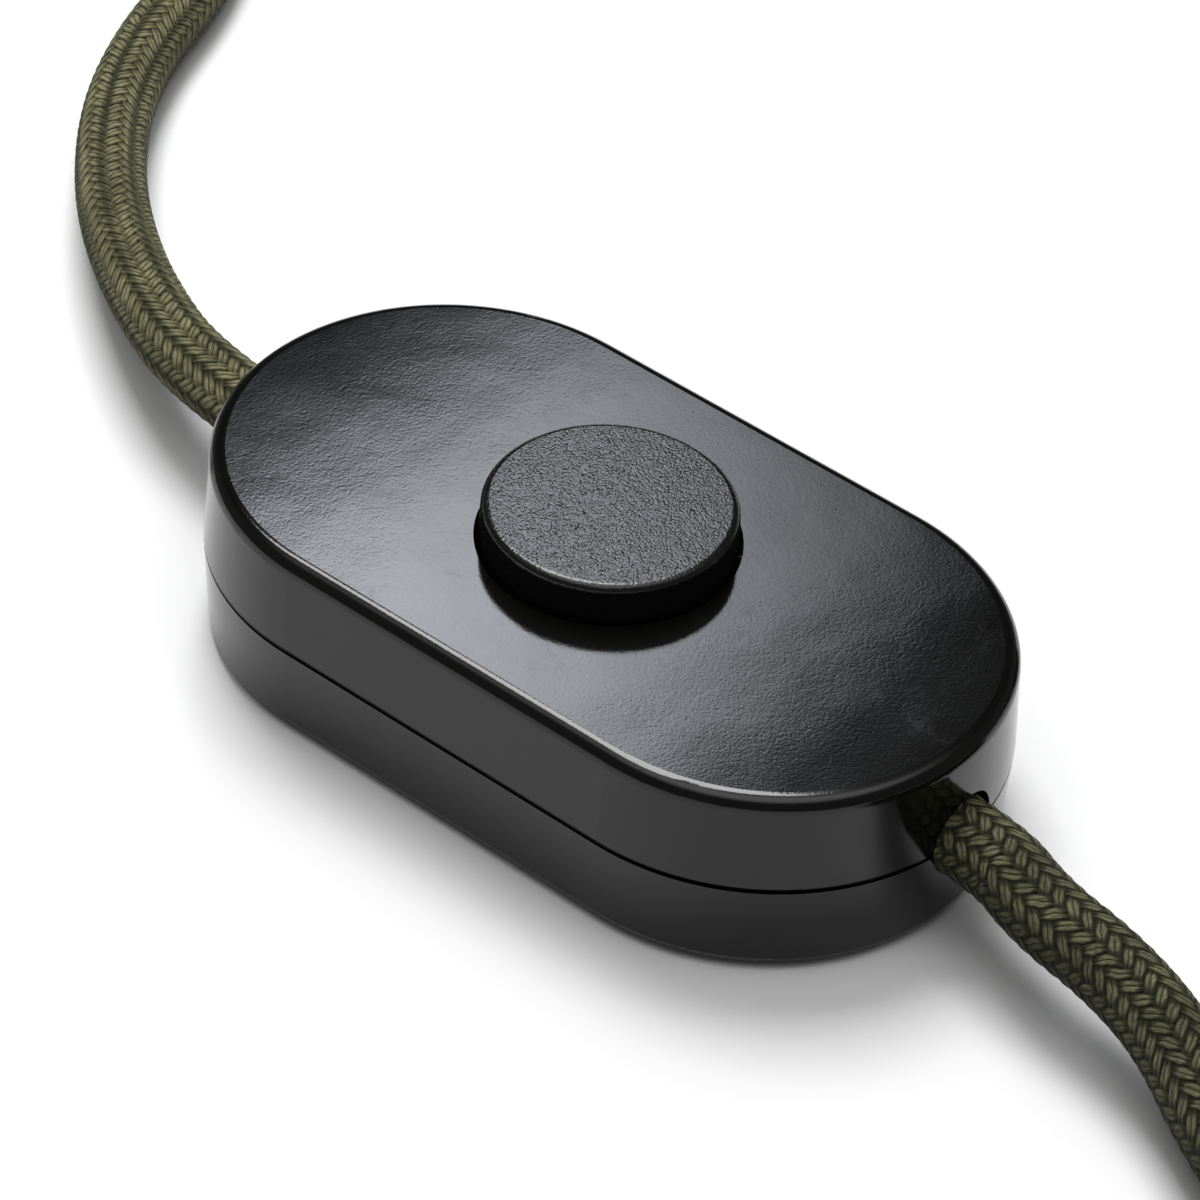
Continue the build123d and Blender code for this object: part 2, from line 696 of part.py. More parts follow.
# Button cap: cup with a stop flange under the collar of the cover
cap_roof_z = button_top_z - button_roof
with BuildPart() as button_cap:
    with BuildSketch(Plane.XZ):
        with BuildLine():
            Polyline(
                (0, button_top_z),
                (button_radius, button_top_z),
                (button_skirt_radius, button_foot_z + stop_flange_height),
                (stop_flange_radius, button_foot_z + stop_flange_height),
                (stop_flange_radius, button_foot_z),
                (button_skirt_radius - button_skirt, button_foot_z),
                (button_skirt_radius - button_skirt, cap_roof_z),
                (0, cap_roof_z),
                close=True,
            )
        make_face()
    revolve(axis=Axis.Z)
    fillet(button_cap.edges().group_by(Axis.Z)[-1], button_edge)
    with Locations(Location((0, 0, cap_roof_z), (180, 0, 0))):
        Hole(stem_radius + thread_fit, depth=stem_socket_depth)
button_cap.part.label = "button_cap"
export_step(button_cap.part, "parts/button_cap.step")

# Plunger: stem, flange under the cap, and the springy finger whose nose pushes a ratchet tooth
pawl_z = axle_z + stroke / 2 + pawl_gap
with BuildPart() as plunger:
    with BuildSketch(Plane.XY.offset(stem_foot_z)):
        Circle(stem_radius)
    extrude(amount=cap_roof_z + stem_head_height - stem_foot_z)
    with BuildSketch(Plane.XY.offset(cap_roof_z - plunger_flange_height)):
        Circle(plunger_flange_radius)
    extrude(amount=plunger_flange_height)
    with BuildSketch(Plane.XZ.offset(-finger_width / 2)):
        with BuildLine():
            Polyline(
                (finger_x[0], cap_roof_z - plunger_flange_height / 2),
                (finger_x[0], pawl_z + pawl_height),
                (pawl_reach_x, pawl_z + pawl_nose_height),
                (pawl_reach_x, pawl_z),
                (finger_x[1], pawl_z),
                (finger_x[1], cap_roof_z - plunger_flange_height / 2),
                close=True,
            )
        make_face()
    extrude(amount=finger_width)
plunger.part.label = "plunger"
export_step(plunger.part, "parts/plunger.step")

# Return spring between the frame's roof and the cap
spring_foot_z = frame_roof_z + frame_roof_height
spring_height = cap_roof_z - spring_foot_z - 2 * (spring_wire_radius + spring_play)
with BuildPart() as return_spring:
    with BuildLine() as helix:
        Helix(
            pitch=spring_height / spring_turns,
            height=spring_height,
            radius=spring_radius,
            center=(0, 0, spring_foot_z + spring_wire_radius + spring_play),
        )
    with BuildSketch(Plane(origin=helix.line @ 0, z_dir=helix.line % 0)):
        Circle(spring_wire_radius)
    sweep(is_frenet=True)
return_spring.part.label = "return_spring"
export_step(return_spring.part, "parts/return_spring.step")

# Free stretches of the lead
for name, points in (
    ("mains_cord", mains_route),
    ("mains_cord_tail", mains_tail_route),
    ("lamp_cord", lamp_route),
    ("lamp_cord_tail", lamp_tail_route),
):
    cord = swept_tube(name, points, cord_radius, bend_radii(points))
    cord.label = name
    export_step(cord, "parts/" + name + ".step")

# Coils: rings of the outer shape of the turns, two turns wide below, with the upper turns on them
coil_middle = (coil_outer + coil_inner) / 2
coil_low_top_z = coil_lift + 2 * cord_radius


def radial_plane(centre, angle, height):
    """Upright plane through a coil's axis, its x pointing outwards at the angle and its y up."""
    turned = math.radians(angle)
    outwards = (math.cos(turned), math.sin(turned), 0)
    across = (math.sin(turned), -math.cos(turned), 0)
    return Plane(origin=(centre[0], centre[1], height), x_dir=outwards, z_dir=across)


for name, centre, upper_turns in (
    ("mains_coil", mains_coil_centre, mains_upper_turns),
    ("lamp_coil", lamp_coil_centre, lamp_upper_turns),
):
    coil_axis = Axis((centre[0], centre[1], 0), (0, 0, 1))
    with BuildPart() as coil:
        with BuildSketch(radial_plane(centre, 0, coil_lift)):
            with Locations((coil_middle, cord_radius)):
                RectangleRounded(4 * cord_radius, 2 * cord_radius, coil_edge)
        revolve(axis=coil_axis)
        for turn_radius, first_angle, arc in upper_turns:
            with BuildSketch(radial_plane(centre, first_angle, coil_low_top_z)):
                with Locations((turn_radius, cord_radius - coil_edge / 2)):
                    Rectangle(2 * cord_radius, 2 * cord_radius + coil_edge)
            revolve(axis=coil_axis, revolution_arc=arc)
    coil.part.label = name
    export_step(coil.part, "parts/" + name + ".step")

# Ties: a band round the turns of each coil
inner_edge = coil_inner - cord_radius
outer_edge = coil_outer + cord_radius
middle_edge = coil_inner + cord_radius
full_height = 4 * cord_radius
mains_section = [(inner_edge, 0), (outer_edge, 0), (outer_edge, full_height), (inner_edge, full_height)]
lamp_section = [
    (inner_edge, 0),
    (outer_edge, 0),
    (outer_edge, 2 * cord_radius),
    (middle_edge, full_height),
    (inner_edge, full_height),
]
for name, centre, angle, section in (
    ("mains_coil_tie", mains_coil_centre, mains_tie_angle - tie_arc / 2, mains_section),
    ("lamp_coil_tie", lamp_coil_centre, lamp_tie_angle - tie_arc / 2, lamp_section),
):
    with BuildPart() as coil_tie:
        with BuildSketch(radial_plane(centre, angle, coil_lift)):
            Polygon(*section, align=None)
            offset(amount=tie_gap + tie_thickness)
            inside = Polygon(*section, align=None, mode=Mode.PRIVATE)
            offset(inside, amount=tie_gap, mode=Mode.SUBTRACT)
        revolve(axis=Axis((centre[0], centre[1], 0), (0, 0, 1)), revolution_arc=tie_arc)
    coil_tie.part.label = name
    export_step(coil_tie.part, "parts/" + name + ".step")

# Plug, lying on one of its flats. Its profiles run along its axis from the end of the lead.
plug_start = Vector(*mains_tail_route[-1])
plug_direction = (plug_start - Vector(*mains_tail_route[-2])).normalized()
plug_axis = Axis(plug_start, plug_direction)
plug_profile = Plane(origin=plug_start, x_dir=plug_direction, z_dir=(0, 0, 1))
plug_back = plug_relief_length
plug_face = plug_back + plug_body_length

# Strain relief: tapered sleeve with ring grooves
relief_outline = [(0, 0), (0, relief_small_radius)]
sleeve_taper = (relief_large_radius - relief_small_radius) / plug_relief_length
for groove in range(relief_grooves):
    groove_x = relief_first_groove + relief_groove_pitch * groove
    groove_end_x = groove_x + relief_groove_width
    sleeve_radius = relief_small_radius + sleeve_taper * groove_x
    relief_outline.append((groove_x, sleeve_radius))
    relief_outline.append((groove_x + relief_groove_slope, sleeve_radius - relief_groove_depth))
    relief_outline.append((groove_end_x, sleeve_radius - relief_groove_depth))
    relief_outline.append((groove_end_x + relief_groove_slope, sleeve_radius + relief_ring_step))
relief_outline.append((plug_back, relief_large_radius))
relief_outline.append((plug_back, 0))
with BuildPart() as plug_strain_relief:
    with BuildSketch(plug_profile):
        with BuildLine():
            Polyline(*relief_outline, close=True)
        make_face()
    revolve(axis=plug_axis)
plug_strain_relief.part.label = "plug_strain_relief"
export_step(plug_strain_relief.part, "parts/plug_strain_relief.step")

# Plug body: grip that widens to the round front, with two flats and their clip grooves
waist = (plug_back + plug_waist[0], plug_waist[1])
shoulder = (plug_back + plug_shoulder[0], plug_shoulder[1])
rim = (plug_back + plug_rim, plug_radius)
with BuildPart() as plug_body:
    with BuildSketch(plug_profile):
        with BuildLine():
            Polyline((plug_back, 0), (plug_back, plug_neck_radius), waist)
            ThreePointArc(waist, shoulder, rim)
            Polyline(rim, (plug_face, plug_radius), (plug_face, 0), (plug_back, 0))
        make_face()
    revolve(axis=plug_axis)
    fillet(plug_body.edges().filter_by(GeomType.CIRCLE).sort_by(plug_axis)[-1], plug_edge)
    flat_plane = Plane(origin=plug_start + plug_direction * plug_back, x_dir=plug_direction, z_dir=(0, 0, 1))
    for upright in (1, -1):
        with BuildSketch(flat_plane.offset(upright * plug_flat)):
            with Locations((plug_body_length / 2, 0)):
                Rectangle(plug_body_length + 2 * cut_margin, 4 * plug_radius)
        extrude(amount=upright * 2 * cut_margin, mode=Mode.SUBTRACT)
        with BuildSketch(flat_plane.offset(upright * plug_flat)):
            with Locations((plug_body_length - earth_clip_length / 2, 0)):
                Rectangle(earth_clip_length, earth_clip_width)
        extrude(amount=-upright * earth_clip_depth, mode=Mode.SUBTRACT)
plug_body.part.label = "plug_body"
export_step(plug_body.part, "parts/plug_body.step")

with BuildPart() as plug_earth_clips:
    for upright in (1, -1):
        with BuildSketch(flat_plane.offset(upright * (plug_flat - earth_clip_depth))):
            with Locations((plug_body_length - earth_clip_length / 2, 0)):
                Rectangle(earth_clip_length, earth_clip_width - earth_clip_gap)
        extrude(amount=upright * earth_clip_thickness)
plug_earth_clips.part.label = "plug_earth_clips"
export_step(plug_earth_clips.part, "parts/plug_earth_clips.step")

# Two round pins with domed ends
face_centre = plug_start + plug_direction * plug_face
plug_across = Vector(plug_direction.Y, -plug_direction.X, 0)
with BuildPart() as plug_pins:
    with BuildSketch(Plane(origin=face_centre, x_dir=plug_across, z_dir=plug_direction)):
        with Locations((-pin_spacing / 2, 0), (pin_spacing / 2, 0)):
            Circle(pin_radius)
    extrude(amount=pin_length)
    fillet(plug_pins.faces().sort_by(plug_axis)[-2:].edges(), pin_dome)
plug_pins.part.label = "plug_pins"
export_step(plug_pins.part, "parts/plug_pins.step")

# Lamp end of the lead: shrink sleeve, three insulated cores fanned out, and their ferrules
lead_end = Vector(*lamp_tail_route[-1])
lead_run = lead_end - Vector(*lamp_tail_route[-2])
end_heading = Vector(lead_run.X, lead_run.Y, 0).normalized()
end_across = Vector(-end_heading.Y, end_heading.X, 0)
with BuildPart() as lamp_end_sleeve:
    with BuildSketch(Plane(origin=lead_end, z_dir=end_heading)):
        Circle(end_sleeve_radius)
    extrude(amount=end_sleeve_length)
    fillet(lamp_end_sleeve.edges().sort_by(Axis(lead_end, end_heading))[-1], end_sleeve_edge)
lamp_end_sleeve.part.label = "lamp_end_sleeve"
export_step(lamp_end_sleeve.part, "parts/lamp_end_sleeve.step")

cores_start = lead_end + end_heading * end_sleeve_length
core_ends = []
with BuildPart() as lamp_end_cores:
    for leaving_across, rise, landing_across, tip_across in end_cores:
        leaving = cores_start + end_across * leaving_across + Vector(0, 0, rise)
        ahead = leaving + end_heading * end_core_ahead
        landing = cores_start + end_heading * end_core_landing + end_across * landing_across
        landing = Vector(landing.X, landing.Y, ferrule_radius + ferrule_floor_gap[0])
        reaching = cores_start + end_heading * end_core_length + end_across * tip_across
        reaching = Vector(reaching.X, reaching.Y, ferrule_radius + ferrule_floor_gap[1])
        core_ends.append((reaching, (reaching - landing).normalized()))
        core_points = [tuple(point) for point in (leaving, ahead, landing, reaching)]
        add(swept_tube("lamp end core", core_points, core_radius, end_core_bend))
lamp_end_cores.part.label = "lamp_end_cores"
export_step(lamp_end_cores.part, "parts/lamp_end_cores.step")

with BuildPart() as lamp_end_ferrules:
    for reaching, direction in core_ends:
        with BuildSketch(Plane(origin=reaching, z_dir=direction)):
            Circle(ferrule_radius)
        extrude(amount=ferrule_collar_length)
        with BuildSketch(Plane(origin=reaching, z_dir=direction)):
            Circle(ferrule_tip_radius)
        extrude(amount=ferrule_length)
lamp_end_ferrules.part.label = "lamp_end_ferrules"
export_step(lamp_end_ferrules.part, "parts/lamp_end_ferrules.step")
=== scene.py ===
import logging
import math
from dataclasses import dataclass
from enum import Enum
from typing import Any, Mapping, Sequence

import bpy
import numpy as np
from mathutils import Matrix, Vector


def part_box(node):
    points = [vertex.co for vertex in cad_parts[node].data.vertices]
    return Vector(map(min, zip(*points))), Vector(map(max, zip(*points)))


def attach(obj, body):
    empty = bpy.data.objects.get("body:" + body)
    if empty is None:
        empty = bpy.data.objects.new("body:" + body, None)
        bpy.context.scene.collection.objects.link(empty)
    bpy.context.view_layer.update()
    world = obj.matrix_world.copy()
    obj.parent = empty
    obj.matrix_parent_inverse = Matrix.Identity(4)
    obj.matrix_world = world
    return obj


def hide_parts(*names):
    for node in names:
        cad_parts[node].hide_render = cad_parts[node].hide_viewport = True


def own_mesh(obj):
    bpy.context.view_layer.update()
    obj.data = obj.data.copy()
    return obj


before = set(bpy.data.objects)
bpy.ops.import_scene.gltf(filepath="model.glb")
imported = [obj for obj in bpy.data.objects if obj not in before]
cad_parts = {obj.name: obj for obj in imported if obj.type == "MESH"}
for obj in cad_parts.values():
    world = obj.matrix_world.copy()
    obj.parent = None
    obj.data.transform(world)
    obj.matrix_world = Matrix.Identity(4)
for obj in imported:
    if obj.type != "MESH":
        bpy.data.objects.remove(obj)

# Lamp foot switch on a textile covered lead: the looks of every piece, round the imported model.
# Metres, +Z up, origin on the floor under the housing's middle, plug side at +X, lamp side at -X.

Array = np.ndarray
Colour = tuple[float, float, float]
Point = tuple[float, float, float]

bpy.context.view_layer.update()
SEAM_HEIGHT = 0.0106  # of the joint between the shells, and of the lead where it enters them
TOP_HEIGHT = 0.021  # of the cover's top
CORD_RADIUS = 0.00385
OUTER_TURN, INNER_TURN = 0.045815, 0.038115  # radii of the coils' turns
LOW_LAYER, HIGH_LAYER = 0.00445, 0.01215  # heights of the lead's middle in their two layers
MAINS_COIL = (0.124, 0.026)  # middles of the coils
LAMP_COIL = (-0.1793, 0.051985)

log = logging.getLogger("foot_switch")


# ---- shader maths


class Value:
    """An output of a shader node that can be used in a Python expression."""

    def __init__(self, tree: "NodeTree", socket: bpy.types.NodeSocket) -> None:
        """Wraps one output socket of a node tree."""
        self.tree = tree
        self.socket = socket

    def maths(self, operation: str, *others: "Value | float") -> "Value":
        """One Math node on this value and its further operands."""
        inputs = dict(enumerate((self, *others)))
        return self.tree.node("ShaderNodeMath", {"operation": operation}, inputs).out(0)

    def __add__(self, other: "Value | float") -> "Value":
        """Sum."""
        return self.maths("ADD", other)

    def __sub__(self, other: "Value | float") -> "Value":
        """Difference."""
        return self.maths("SUBTRACT", other)

    def __rsub__(self, other: float) -> "Value":
        """A number less this value."""
        return self.maths("MULTIPLY_ADD", -1.0, other)

    def __mul__(self, other: "Value | float") -> "Value":
        """Product."""
        return self.maths("MULTIPLY", other)

    def __pow__(self, other: float) -> "Value":
        """Power."""
        return self.maths("POWER", other)

    __radd__ = __add__
    __rmul__ = __mul__

    def floor(self) -> "Value":
        """Largest whole number that isn't above it."""
        return self.maths("FLOOR")

    def part(self) -> "Value":
        """What is left after its whole number."""
        return self.maths("FRACT")

    def cos(self) -> "Value":
        """Cosine of it, in radians."""
        return self.maths("COSINE")

    def size(self) -> "Value":
        """The value without its sign."""
        return self.maths("ABSOLUTE")

    def aside(self) -> "Value":
        """0 halfway between two whole numbers, rising to 1 at both of them."""
        return (self.part() * 2.0 - 1.0).size()

    def most(self, other: "Value | float") -> "Value":
        """The larger of two values."""
        return self.maths("MAXIMUM", other)

    def above(self, other: "Value | float") -> "Value":
        """1 where it is larger than the other, else 0."""
        return self.maths("GREATER_THAN", other)

    def ramp(self, low: float, high: float, to_low: float = 0.0, to_high: float = 1.0) -> "Value":
        """Smooth step from to_low, where the value is low, to to_high, where it is high."""
        settings = {"interpolation_type": "SMOOTHSTEP"}
        inputs = dict(enumerate((self, low, high, to_low, to_high)))
        return self.tree.node("ShaderNodeMapRange", settings, inputs).out(0)


class Node:
    """A shader node with its outputs as values."""

    def __init__(self, tree: "NodeTree", node: bpy.types.Node) -> None:
        """Wraps a node of a tree."""
        self.tree = tree
        self.node = node

    def out(self, key: int | str) -> Value:
        """One of its outputs, by place or name."""
        return Value(self.tree, self.node.outputs[key])


class NodeTree:
    """The nodes of one material or world, built up by expressions."""

    def __init__(self, owner: bpy.types.Material | bpy.types.World) -> None:
        """Empties the tree of a material or world."""
        self.owner = owner
        owner.use_nodes = True
        self.nodes = owner.node_tree
        self.nodes.nodes.clear()

    def node(
        self,
        kind: str,
        settings: Mapping[str, Any] | None = None,
        inputs: Mapping[int | str, Any] | None = None,
    ) -> Node:
        """Adds a node of a kind, sets its properties, and feeds its inputs by place or name."""
        made = self.nodes.nodes.new(kind)
        for key, setting in (settings or {}).items():
            setattr(made, key, setting)
        node = Node(self, made)
        self.feed(node, inputs or {})
        return node

    def feed(self, node: Node, inputs: Mapping[int | str, Any]) -> None:
        """Links or sets input sockets of a node."""
        for key, given in inputs.items():
            socket = node.node.inputs[key]
            if isinstance(given, Value):
                self.nodes.links.new(given.socket, socket)
            elif socket.type == "RGBA" and len(given) == 3:
                socket.default_value = (*given, 1.0)
            else:
                socket.default_value = given

    def toward(self, direction: Point) -> Value:
        """Cosine between the way that a ray of the world goes and a direction."""
        inputs = {0: self.node("ShaderNodeTexCoord").out("Generated"), 1: direction}
        return self.node("ShaderNodeVectorMath", {"operation": "DOT_PRODUCT"}, inputs).out("Value")


class Surface(NodeTree):
    """A material's nodes, ending in a Principled shader."""

    def __init__(self, name: str) -> None:
        """Starts a material with that name."""
        super().__init__(bpy.data.materials.new(name))
        self.shader = self.node("ShaderNodeBsdfPrincipled")
        self.node("ShaderNodeOutputMaterial", inputs={"Surface": self.shader.out("BSDF")})
        self.bump: Value | None = None

    def place(self) -> Value:
        """The point's place in the piece's own coordinates, in metres."""
        return self.node("ShaderNodeTexCoord").out("Object")

    def uv(self) -> tuple[Value, Value]:
        """The piece's UV map as two values."""
        at = self.node("ShaderNodeTexCoord").out("UV")
        split = self.node("ShaderNodeSeparateXYZ", inputs={0: at})
        return split.out(0), split.out(1)

    def axes(self) -> tuple[Value, Value, Value]:
        """The point's x, y and z in the piece's own coordinates."""
        split = self.node("ShaderNodeSeparateXYZ", inputs={0: self.place()})
        return split.out(0), split.out(1), split.out(2)

    def attribute(self, name: str) -> Value:
        """A number stored on the mesh's points."""
        return self.node("ShaderNodeAttribute", {"attribute_name": name}).out("Fac")

    def join(self, x: Value | float, y: Value | float, z: Value | float) -> Value:
        """Three numbers as one vector."""
        return self.node("ShaderNodeCombineXYZ", inputs={0: x, 1: y, 2: z}).out(0)

    def noise(self, at: Value, per_metre: float, detail: float = 3.0, rough: float = 0.55) -> Value:
        """Cloudy noise from 0 to 1, with its largest features about 1 / per_metre across."""
        inputs = {"Vector": at, "Scale": per_metre, "Detail": detail, "Roughness": rough}
        return self.node("ShaderNodeTexNoise", inputs=inputs).out(0)

    def cells(self, at: Value, per_metre: float, feature: str = "F1") -> Value:
        """Distance to the nearest of scattered points, or to their cells' edges."""
        inputs = {"Vector": at, "Scale": per_metre}
        return self.node("ShaderNodeTexVoronoi", {"feature": feature}, inputs).out("Distance")

    def mix(self, factor: Value | float, first: Any, second: Any) -> Value:
        """Colour between two colours or colour values."""
        inputs = {0: factor, 6: first, 7: second}
        return self.node("ShaderNodeMix", {"data_type": "RGBA"}, inputs).out(2)

    def raise_by(self, height: Value, depth: float) -> None:
        """Adds a relief to the surface's bumps, in which a height of 1 is depth metres high."""
        inputs: dict[int | str, Any] = {"Height": height, "Distance": depth}
        if self.bump is not None:
            inputs["Normal"] = self.bump
        self.bump = self.node("ShaderNodeBump", inputs=inputs).out(0)

    def finish(self, **inputs: Any) -> bpy.types.Material:
        """The finished material; the shader's inputs have _ for a space in their names."""
        named = {key.replace("_", " "): given for key, given in inputs.items()}
        if self.bump is not None:
            named["Normal"] = self.bump
        self.feed(self.shader, named)
        return self.owner


# ---- finishes

BROWN: Colour = (0.085, 0.028, 0.010)  # sheaths of the cores
BLUE: Colour = (0.012, 0.055, 0.26)
GREEN: Colour = (0.08, 0.24, 0.03)
YELLOW: Colour = (0.72, 0.56, 0.02)


@dataclass(frozen=True)
class Moulding:
    """Moulded plastic: grain in two sizes, faint waviness of the mould, dust and small rubs."""

    name: str
    colour: Colour
    roughness: float = 0.16
    grain: float = 0.00055
    grain_depth: float = 0.000009
    fine_depth: float = 0.0000018
    wave_depth: float = 0.000012
    index: float = 1.5
    joint: float | None = None
    joint_half: float = 0.0002

    def material(self) -> bpy.types.Material:
        """A plastic with a grain of small domes, and painted shade along its joint: a black band
        that mirrors nothing.
        """
        tree = Surface(self.name)
        at = tree.place()
        warp = tree.noise(at, 0.35 / self.grain, 2.0)
        domes = 1.0 - (tree.cells(at, 1 / self.grain) ** 2.0) * 1.6
        grain = domes + tree.noise(at, 0.9 / self.grain, 1.0) * 1.1
        fine = tree.noise(at, 4.5 / self.grain, 4.0, 0.7)
        waves = tree.noise(at, 110.0, 1.5, 0.4)
        tree.raise_by(waves, self.wave_depth)
        tree.raise_by(grain * warp.ramp(0.3, 0.6, 0.55, 1.0), self.grain_depth)
        tree.raise_by(fine, self.fine_depth)
        rubs = tree.noise(at, 260.0, 6.0, 0.75).ramp(0.56, 0.72)
        patches = tree.noise(at, 45.0, 3.0)
        worn = tuple(min(1.0, part * 1.6 + 0.002) for part in self.colour)
        colour = tree.mix(rubs * 0.5 + fine.ramp(0.62, 0.8) * 0.35, self.colour, worn)
        seam_shade: Value | float = 0.0
        # Painted shade of the seam's groove: a ragged black band round the joint's height.
        if self.joint is not None:
            ragged = tree.noise(at, 900.0, 3.0) * self.joint_half * 0.3
            away = (tree.axes()[2] - self.joint).size() + ragged
            seam_shade = 1.0 - away.ramp(self.joint_half, self.joint_half * 1.6)
            colour = tree.mix(seam_shade, colour, (0.0, 0.0, 0.0))
        return tree.finish(
            Base_Color=colour,
            Metallic=seam_shade,
            Roughness=patches * 0.07 + rubs * 0.06 + (self.roughness - 0.035),
            IOR=self.index,
        )


@dataclass(frozen=True)
class Braid:
    """Two over two braid of a textile lead, read from the UV map: u once round, v along in lays."""

    name: str
    # dark is the colour of the painted shade, body the cloth's own colour
    dark: Colour = (0.0035, 0.0035, 0.0018)
    body: Colour = (0.027, 0.029, 0.0125)
    # light is the colour of the painted highlight on the raised strands
    light: Colour = (0.32, 0.32, 0.178)
    carriers: int = 14
    yarns: int = 2
    depth: float = 0.00042
    # share of the braid's colour kept on the underside, where shade is painted
    underside_shade: float = 0.32
    ridges: int = 0
    turn: float = 0.03

    def material(self) -> bpy.types.Material:
        """A cloth whose two families of carriers cross over two and under two.

        Each carrier is a few yarns and each yarn is streaked by its fibres. Shade is painted into
        the gaps between carriers, the creases between yarns and the underside, and highlight onto
        the raised strands.
        """
        tree = Surface(self.name)
        u, v = tree.uv()
        around = (tree.noise(tree.join(u * 9.0, v * 9.0, 0.0), 1.0, 2.0) - 0.5) * 0.7
        first = (u + v) * float(self.carriers) + around
        second = (u - v) * float(self.carriers) - around
        quarter = math.pi / 2
        above = ((second + first.floor() - 1.0) * quarter).cos()
        below = ((first + second.floor() - 3.0) * quarter).cos()
        first_top = above * 0.5 + (1.0 - first.aside() ** 2.6) * 0.55
        second_top = below * 0.5 + (1.0 - second.aside() ** 2.6) * 0.55
        upper = first_top.above(second_top)
        across = upper * first + (1.0 - upper) * second
        along = upper * second + (1.0 - upper) * first
        yarn = across * float(self.yarns)
        thread = yarn.floor()
        fibres = tree.noise(tree.join(along * 1.3, across * 26.0, thread * 3.7), 1.0, 4.0, 0.7)
        drawn_out = tree.join(along * 2.6, across * 9.0, thread * 1.3 + 40.0)
        strands = tree.noise(drawn_out, 1.0, 3.0, 0.6)
        relief = first_top.most(second_top)
        drawn = tree.attribute("relief")
        yarns = 1.0 - yarn.aside() ** 2.2
        tree.raise_by(relief * (1.0 - drawn) + yarns * (drawn * 0.38 + 0.12), self.depth)
        tree.raise_by(fibres + strands * 0.8, 0.000075)
        # Painted highlight on the raised strands, streaked by their fibres.
        lit = relief.ramp(0.25, 0.95) * (fibres * 0.8 + strands * 0.5)
        tint = tree.noise(tree.join(thread * 5.1, along * 0.2, 3.0), 1.0, 1.0)
        body = tree.mix(tint.ramp(0.3, 0.7), self.body, tuple(part * 1.35 for part in self.body))
        shown = tree.mix(lit.ramp(0.40, 0.95), body, self.light)
        # Painted shade in the creases between yarns.
        creases = yarns.ramp(0.0, 0.55, 0.15, 1.0) * fibres.ramp(0.28, 0.5, 0.35, 1.0)
        patches = tree.noise(tree.join(u * 5.0, v * 2.4, 8.0), 1.0, 3.0).ramp(0.3, 0.66, 0.55, 1.0)
        # Painted shade: the braid darkens towards its underside and along the valleys between the
        # cores.
        upward = ((u - 0.25) * (2 * math.pi)).cos()
        unshaded = upward.ramp(-0.35, 0.85, self.underside_shade, 1.0) * self.valley_shade(tree, u, v)
        # Painted shade: the braid's low parts, creases and underside go to the dark colour,
        # deepened in random patches.
        colour = tree.mix(relief.ramp(0.2, 0.68) * creases * patches * unshaded, self.dark, shown)
        return tree.finish(
            Base_Color=colour,
            Roughness=fibres * 0.2 + 0.72,
            Sheen_Weight=0.1,
            Sheen_Roughness=0.45,
            Sheen_Tint=(0.8, 0.82, 0.6, 1.0),
            Specular_IOR_Level=0.15,
        )

    def valley_shade(self, tree: Surface, u: Value, v: Value) -> Value | float:
        """Painted shade: dark lines along the lead where its cloth sinks between the cores."""
        if not self.ridges:
            return 1.0
        turned = u * float(self.ridges) - v * (self.turn * self.ridges)
        bent = tree.noise(tree.join(u * 3.0, v * 2.0, 5.0), 1.0, 2.0) * 0.14
        return (turned + bent).aside().ramp(0.55, 0.95, 1.0, 0.3)


@dataclass(frozen=True)
class Metal:
    """Turned, stamped or drawn metal with fine tool marks, stains and small scratches."""

    name: str
    colour: Colour
    roughness: float = 0.3
    marks: float = 0.000004
    stretch: Point = (1.0, 1.0, 6.0)

    def material(self) -> bpy.types.Material:
        """A metal whose tool marks are noise drawn out across one direction."""
        tree = Surface(self.name)
        at = tree.place()
        drawn = tree.node("ShaderNodeMapping", inputs={"Vector": at, "Scale": self.stretch}).out(0)
        lines = tree.noise(drawn, 1800.0, 3.0, 0.65)
        stains = tree.noise(at, 240.0, 4.0)
        scratches = tree.noise(drawn, 5200.0, 2.0).ramp(0.6, 0.72)
        tree.raise_by(lines + scratches * 0.6, self.marks)
        dull = tuple(part * 0.62 for part in self.colour)
        colour = tree.mix(stains.ramp(0.35, 0.75), self.colour, dull)
        return tree.finish(
            Base_Color=colour,
            Metallic=1.0,
            Roughness=stains * 0.2 + scratches * 0.12 + (self.roughness - 0.1),
        )


@dataclass(frozen=True)
class Rubber:
    """Soft moulded rubber or sheath: matt, speckled with talc and fine pits."""

    name: str
    colour: Colour
    roughness: float = 0.62

    def material(self) -> bpy.types.Material:
        """A matt surface with pits and pale dust."""
        tree = Surface(self.name)
        at = tree.place()
        pits = tree.cells(at, 2600.0)
        dust = tree.noise(at, 900.0, 5.0, 0.7)
        tree.raise_by(pits + dust * 0.7, 0.00003)
        pale = tuple(part * 1.8 + 0.02 for part in self.colour)
        return tree.finish(
            Base_Color=tree.mix(dust.ramp(0.52, 0.75) * 0.6, self.colour, pale),
            Roughness=dust * 0.2 + (self.roughness - 0.1),
            Specular_IOR_Level=0.35,
        )


@dataclass(frozen=True)
class Insulation:
    """Smooth sheath of a core, plain or in two colours that alternate along x."""

    name: str
    colour: Colour
    second: Colour | None = None

    def material(self) -> bpy.types.Material:
        """A soft plastic with faint waves from extrusion."""
        tree = Surface(self.name)
        at = tree.place()
        waves = tree.noise(at, 700.0, 3.0)
        tree.raise_by(waves, 0.00002)
        dirt = waves.ramp(0.5, 0.8) * 0.35
        shade = tuple(part * 0.6 for part in self.colour)
        colour = tree.mix(dirt, self.colour, shade)
        if self.second is not None:
            x, y, z = tree.axes()
            stripe = ((x + y * 0.6 + z) * 900.0).cos().ramp(-0.1, 0.1)
            colour = tree.mix(stripe, colour, self.second)
        return tree.finish(Base_Color=colour, Roughness=waves * 0.1 + 0.36)


